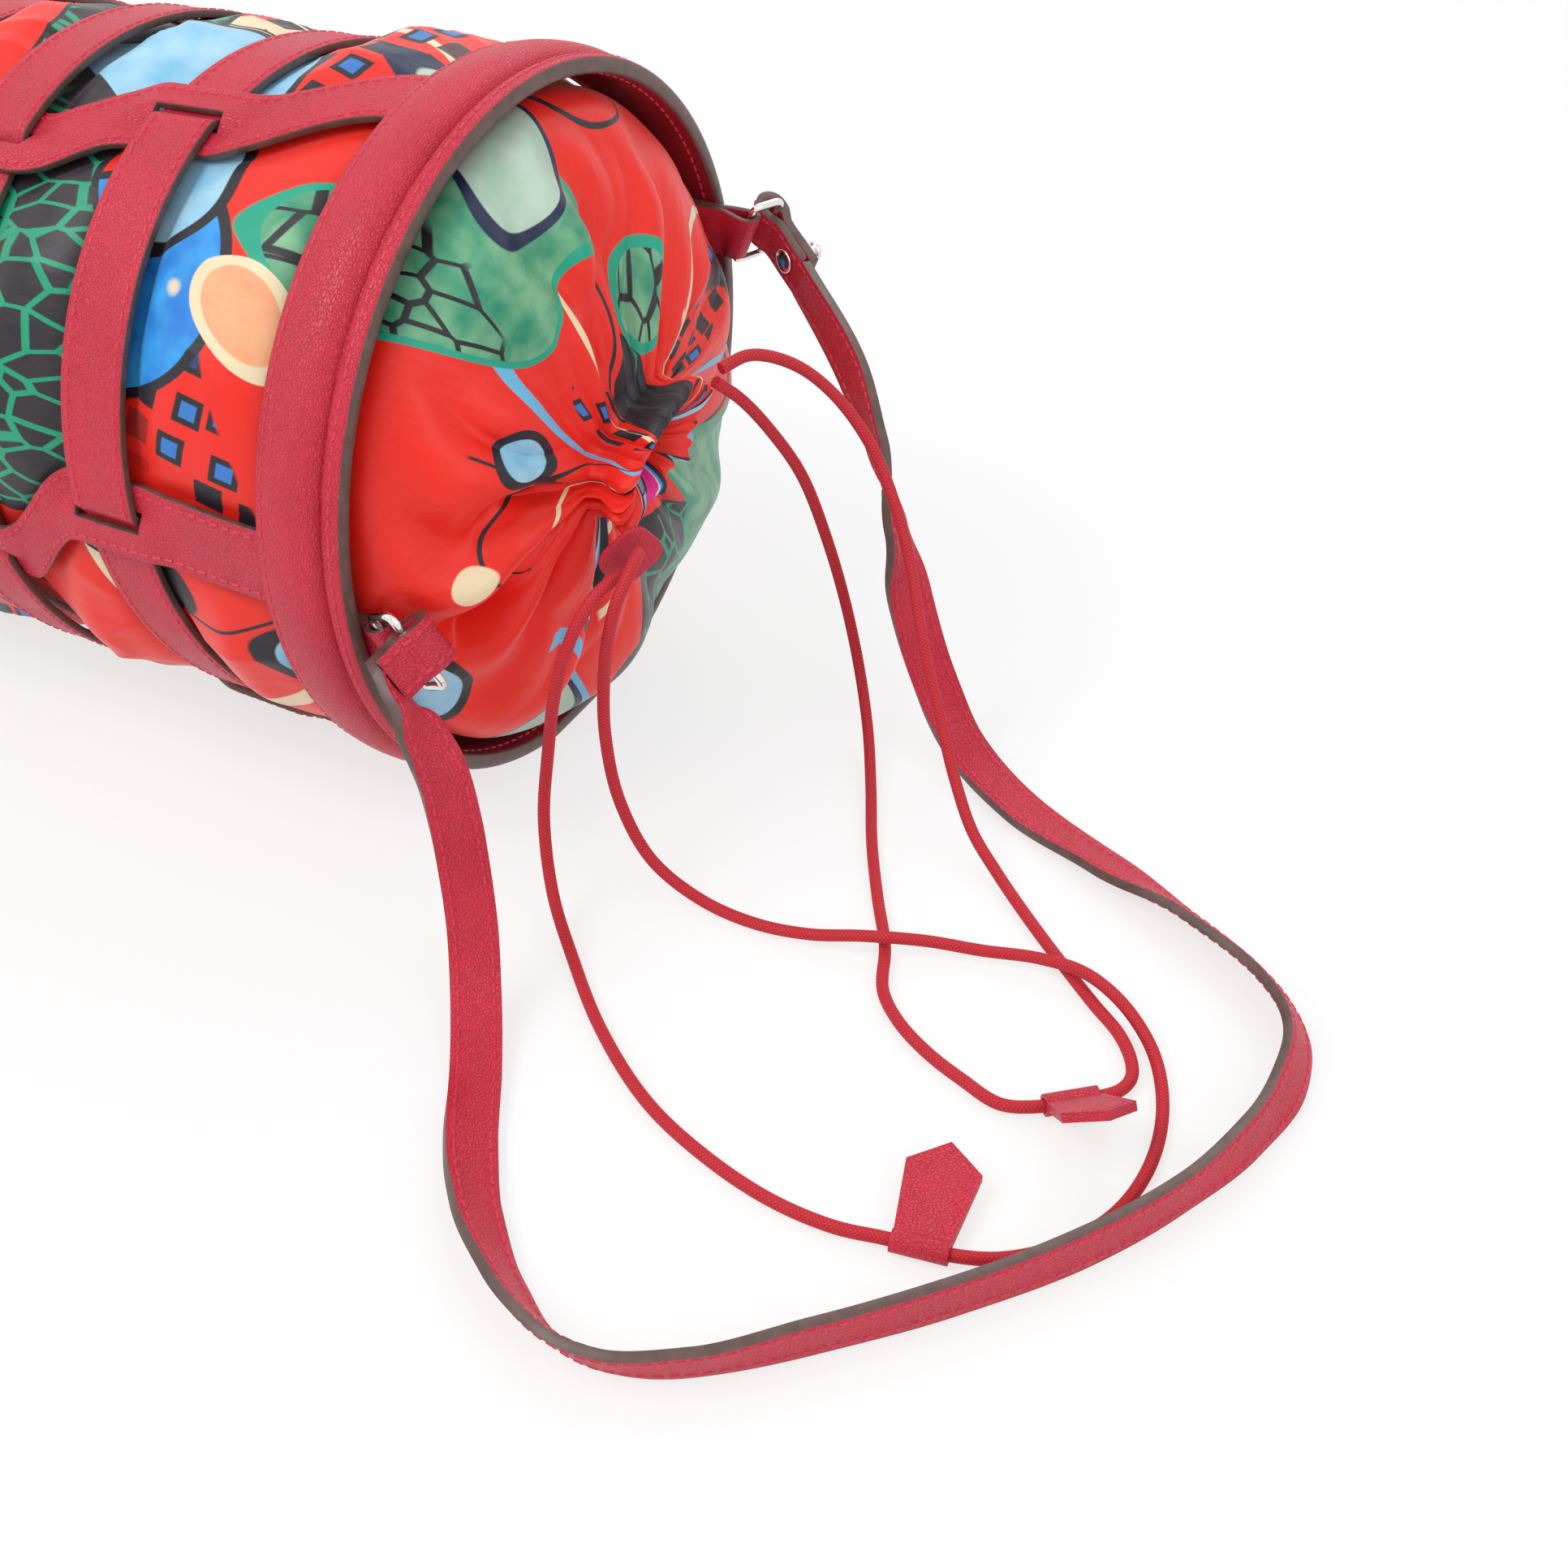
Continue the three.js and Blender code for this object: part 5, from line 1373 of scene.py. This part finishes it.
@dataclass
class Anchor:
    """Where one end of the shoulder strap is held: a tab, a ring and the strap's folded end.

    The ring's near bar lies in the tab at the hinge and its far bar holds the strap. The
    directions are across (along the bars), reach (from near bar to far bar) and drop (the
    way that the strap leaves).
    """

    side: str
    angle: float
    cant: float
    swing: float
    outward: float
    tab_reach: float
    tail: float
    body: Body
    form: CageForm
    tab_width: float = 18 * MM
    tab_thickness: float = 1.4 * MM
    tab_tuck: float = 14 * MM
    half_gap: float = 0.15 * MM
    eye_play: float = 0.4 * MM
    wire: float = 1.3 * MM
    ring_length: float = 22 * MM
    ring_width: float = 8 * MM
    corner: float = 2.2 * MM
    tab_crotch: float = 3 * MM
    stud_reach: float = 13.5 * MM
    stud_gap: float = 0.3 * MM
    plate_thickness: float = 1.1 * MM

    def __post_init__(self) -> None:
        """Works out the anchor's directions and its two bars."""
        turn, cant, swing = (math.radians(value) for value in (self.angle, self.cant, self.swing))
        self.out = np.array([0, math.cos(turn), math.sin(turn)])
        self.round = np.array([0, -math.sin(turn), math.cos(turn)])
        ahead = np.array([1.0, 0, 0])
        self.across = self.round * math.cos(cant) + ahead * math.sin(cant)
        lead = ahead * math.cos(cant) - self.round * math.sin(cant)
        self.reach = lead * math.cos(swing) + self.out * math.sin(swing)
        self.drop = self.outward * (self.out * math.cos(swing) - lead * math.sin(swing))
        inner = self.form.mouth_radius + LINING_FACE
        flatness = inner - math.sqrt(inner**2 - (self.tab_width / 2) ** 2)
        taper = self.form.mouth_radius - float(self.form.radius(np.array(-self.tab_tuck)))
        self.rise = LINING_FACE - flatness - taper - 2 * self.half_gap - self.tab_thickness - self.half_gap
        self.hinge = self.form.point(np.array(0.0), np.array(self.angle), np.array(self.rise))
        self.hinge = self.hinge + [self.tab_reach, 0, 0]
        self.span = self.ring_width + 2 * self.wire
        self.far_bar = self.hinge + self.reach * self.span

    def fold(self, tail: float, leg: float, eye: float, play: float, crotch: float) -> Array:
        """Draws leather folded round a bar: in along one side, round it and back.

        Args:
            tail: Reach of both ends from the bar.
            leg: Half the distance between the two layers.
            eye: Radius of the turn round the bar.
            play: How far the turn's centre lies past the bar.
            crotch: Where the two layers meet.

        Returns:
            Rows of the distance back from the bar and the distance off the middle.
        """
        share = np.array([0.33, 0.66])
        lips = np.stack([mix(crotch, -play, share), mix(leg, eye, ease(share, 0, 0.66))], 1)
        turn = np.radians(np.linspace(0, 180, 9))
        arc = np.stack([-play - eye * np.sin(turn), eye * np.cos(turn)], 1)
        legs = np.array([[tail, leg], [mix(crotch, tail, 0.5), leg], [crotch, leg]])
        mirrored = np.vstack([lips[::-1], legs[::-1]]) * [1, -1]
        return curve_through(np.vstack([legs, lips, arc, mirrored]), 3)[0]

    def tab(self, finishes: Finishes, rounding: float) -> None:
        """Makes the short tab that comes out of the rim and holds the ring."""
        leg = self.tab_thickness / 2 + self.half_gap
        eye = self.wire + self.eye_play + self.tab_thickness / 2
        path = self.fold(self.tab_reach + self.tab_tuck, leg, eye, 0.0, self.tab_reach - self.tab_crotch)
        place = self.form.point(np.zeros(len(path)), np.full(len(path), self.angle), self.rise + path[:, 1])
        place[:, 0] = self.hinge[0] - path[:, 0]
        turned = (1 - ease(path[:, 0], 2 * MM, 8 * MM))[:, None]
        ribbon(f"ring_tab_{self.side}", place, mix(self.round, self.across, turned), self.tab_width,
               self.tab_thickness, finishes, rounding, (f"strap_tab_{self.side}",))

    def ring(self, finishes: Finishes) -> None:
        """Makes the ring: round wire bent to a rectangle with rounded corners."""
        half, far = self.ring_length / 2 + self.wire, self.span
        quarter = np.radians(np.linspace(-90, 0, 7))
        outline = []
        for k, (x, y) in enumerate([(half, 0), (half, far), (-half, far), (-half, 0)]):
            level = self.corner if y == 0 else far - self.corner
            centre = np.array([x - math.copysign(self.corner, x), level])
            turn = quarter + k * math.pi / 2
            outline.append(centre + self.corner * np.stack([np.cos(turn), np.sin(turn)], 1))
        outline = np.concatenate(outline)
        path = self.hinge + outline[:, :1] * self.across + outline[:, 1:] * self.reach
        path = evenly(np.vstack([path, path[:1]]), 0.8 * MM)[:-1]
        points, lay = tube(path, self.wire, 16, ring=True)
        piece = Surface(f"metal_ring_{self.side}", [finishes.metal]).grid(points, lay).build(weld=1e-5)
        dress(piece, (f"strap_ring_{self.side}",), self.body)

    def stud(self, finishes: Finishes, stack: float) -> None:
        """Makes the stud that pins the strap's two layers, a turned post with a waisted head."""
        seat = stack + self.plate_thickness + 2 * self.stud_gap
        foot = -stack - self.stud_gap
        below = np.array([(0, -1), (3.3, -1), (3.85, -0.75), (4, -0.3), (3.8, 0), (1.5, 0)]) * MM
        above = np.array([
            (1.5, 0), (3, 0), (3.2, 0.3), (2.9, 0.9), (2, 1.4), (1.9, 2.2), (2.7, 2.9), (3.2, 3.5),
            (3.1, 4.3), (2.5, 4.9), (1.4, 5), (0, 5),
        ]) * MM
        outline = np.vstack([below + [0, foot], above + [0, seat]])
        turn = np.linspace(0, 2 * np.pi, 41)[None, :, None]
        third = np.cross(self.drop, self.reach)
        centre = self.far_bar + self.stud_reach * self.drop
        points = centre + outline[:, 1, None, None] * self.reach + outline[:, 0, None, None] * (
            np.cos(turn) * self.drop + np.sin(turn) * third)
        piece = Surface("metal_stud", [finishes.metal]).grid(points).build(weld=1e-5, sharp=60)
        dress(piece, ("stud",))
        plate = refined("stud_plate", "metal_plate", finishes.metal, 0.3 * MM)
        dress(plate, ("stud_plate",))


def ribbon(name: str, centre: Array, across: Array, width: float, thickness: float,
           finishes: Finishes, rounding: float, nodes: tuple) -> bpy.types.Object:
    """Makes a flat leather strap along a line.

    Each cross-section is a straight line of the strap's width, along the direction across
    at that station, and the modifiers give the thickness and the rounded corners.

    Args:
        name: The piece's name.
        centre: The strap's middle line.
        across: The direction across it at each station.
        width: The strap's width.
        thickness: The strap's thickness.
        finishes: The finishes.
        rounding: Rounding of its corners.
        nodes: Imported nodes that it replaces.

    Returns:
        The strap.
    """
    wide = np.linspace(-width / 2, width / 2, 7)
    points = centre[:, None] + wide[None, :, None] * unit(across)[:, None]
    lay = np.stack(np.broadcast_arrays(run_length(centre)[:, None], wide[None, :] + 2.0), -1)
    piece = Surface(name, [finishes.leather, finishes.edge]).grid(points, lay).build(solid=False)
    thicken(piece, thickness, rounding)
    return dress(piece, nodes)


@dataclass
class ShoulderStrap:
    """The long strap, its two folded ends and the metal that holds them.

    Each row of the route is a point in millimetres and the direction across the strap.
    """

    form: CageForm
    width: float = 14 * MM
    thickness: float = 2.8 * MM
    clearance: float = 0.9 * MM
    play: float = 3.4 * MM
    crotch: float = 4.4 * MM
    spacing: float = 2.0 * MM
    rounding: float = 0.5 * MM
    stitch_inset: float = 2.1 * MM
    route: tuple = (
        (22, -114, 88, 0.1, -0.75, 0.65),
        (28, -115.5, 82, -0.2, -0.95, 0.15),
        (33, -116, 72, -0.45, -0.85, -0.05),
        (36.3, -117, 57.5, -0.58, -0.65, 0.05),
        (38.5, -118.5, 42.5, -0.68, -0.58, 0.15),
        (42, -122.5, 26, -0.8, -0.5, 0.25),
        (48, -132, 11, -0.85, -0.5, 0.15),
        (59.5, -150, 3.6, -0.8, -0.6, 0.08),
        (73, -172, 4.4, -0.76, -0.5, 0.35),
        (88, -191, 6.6, -0.6, -0.5, 0.62),
        (106, -206, 7.6, -0.3, -0.5, 0.8),
        (124, -215, 7.9, 0, -0.45, 0.89),
        (140, -215, 7.8, 0.08, -0.4, 0.91),
        (158, -206, 7.7, 0.2, -0.21, 0.95),
        (180, -186, 7.6, 0.1, -0.1, 0.99),
        (205, -160, 7.6, 0.05, -0.05, 1),
        (227, -132, 7.4, 0, 0, 1),
        (242, -106, 7.4, 0, 0, 1),
        (252, -79, 7.6, -0.25, -0.05, 0.97),
        (255, -55, 7.2, -0.5, 0.05, 0.85),
        (251, -37, 7, -0.4, -0.3, 0.8),
        (238, -22, 6.9, -0.25, -0.55, 0.78),
        (211, -7, 6.4, -0.1, -0.7, 0.7),
        (180, 6, 4.2, -0.25, -0.9, 0.3),
        (147, 20, 3, -0.4, -0.9, 0.08),
        (121, 34, 9, -0.5, -0.85, -0.05),
        (107, 38, 30, -0.8, -0.6, -0.2),
        (99, 38, 53, -0.65, -0.7, 0),
        (91, 42, 76, 0.1, -0.95, 0.25),
        (79, 52, 97, 0.65, -0.6, 0.5),
        (62, 68, 111, 0.7, -0.35, 0.62),
    )

    def end(self, anchor: Anchor) -> Array:
        """Draws the end folded round an anchor's far bar."""
        leg = (self.thickness + 0.3 * MM) / 2
        eye = anchor.wire + self.clearance + self.thickness / 2
        path = anchor.fold(anchor.tail, leg, eye, self.play, self.crotch)
        return anchor.far_bar + path[:, :1] * anchor.drop + path[:, 1:] * anchor.reach

    def build(self, finishes: Finishes) -> None:
        """Makes the strap and what holds it."""
        right = Anchor("right", 15, 25, 60, -1, 10 * MM, 21 * MM, Body.RING_RIGHT, self.form)
        left = Anchor("left", 190, 30, 10, 1, 8 * MM, 12 * MM, Body.RING_LEFT, self.form)
        stack = (self.thickness + 0.3 * MM) / 2 + self.thickness / 2
        for anchor in (right, left):
            anchor.tab(finishes, 0.35 * MM)
            anchor.ring(finishes)
        right.stud(finishes, stack)
        rows = np.array(self.route)
        start, finish = self.end(left), self.end(right)[::-1]
        points = np.vstack([start[-1], rows[:, :3] * MM, finish[0]])
        lays = (-left.across, right.across)
        turns = np.vstack([lays[0], unit(rows[:, 3:]), lays[1]])
        curve, places = curve_through(points, 24)
        span = np.minimum(places.astype(int), len(turns) - 2)
        across = mix(turns[span], turns[span + 1], ease(places - span, 0.0, 1.0)[:, None])
        along = headings(curve)
        across = unit(across - np.sum(across * along, axis=1, keepdims=True) * along)
        both = evenly(np.hstack([curve, across]), self.spacing)
        ends = [np.hstack([part, np.broadcast_to(lay, part.shape)])
                for part, lay in zip((start, finish), lays)]
        whole = np.vstack([ends[0], both[1:-1], ends[1]])
        centre, across = whole[:, :3], unit(whole[:, 3:])
        ribbon("long_strap", centre, across, self.width, self.thickness, finishes, self.rounding,
               ("shoulder_strap",))
        stitching = Stitching("strap_stitches")
        up = unit(np.cross(headings(centre), across))
        for face in (-1, 1):
            for edge in (-1, 1):
                inset = edge * (self.width / 2 - self.stitch_inset)
                line = centre + inset * across + face * up * self.thickness / 2
                stitching.row(line, face * up)
        dress(stitching.build(finishes))


def main() -> None:
    """Builds the studio and the pouch in order."""
    logging.basicConfig(level=logging.INFO, format="%(name)s %(message)s")
    Studio().build()
    finishes = Finishes()
    Drawcords().build(finishes)
    form = CageForm()
    Silk(form).build(finishes)
    Cage(form).build(finishes)
    ShoulderStrap(form).build(finishes)


if __name__ == "__main__":
    main()
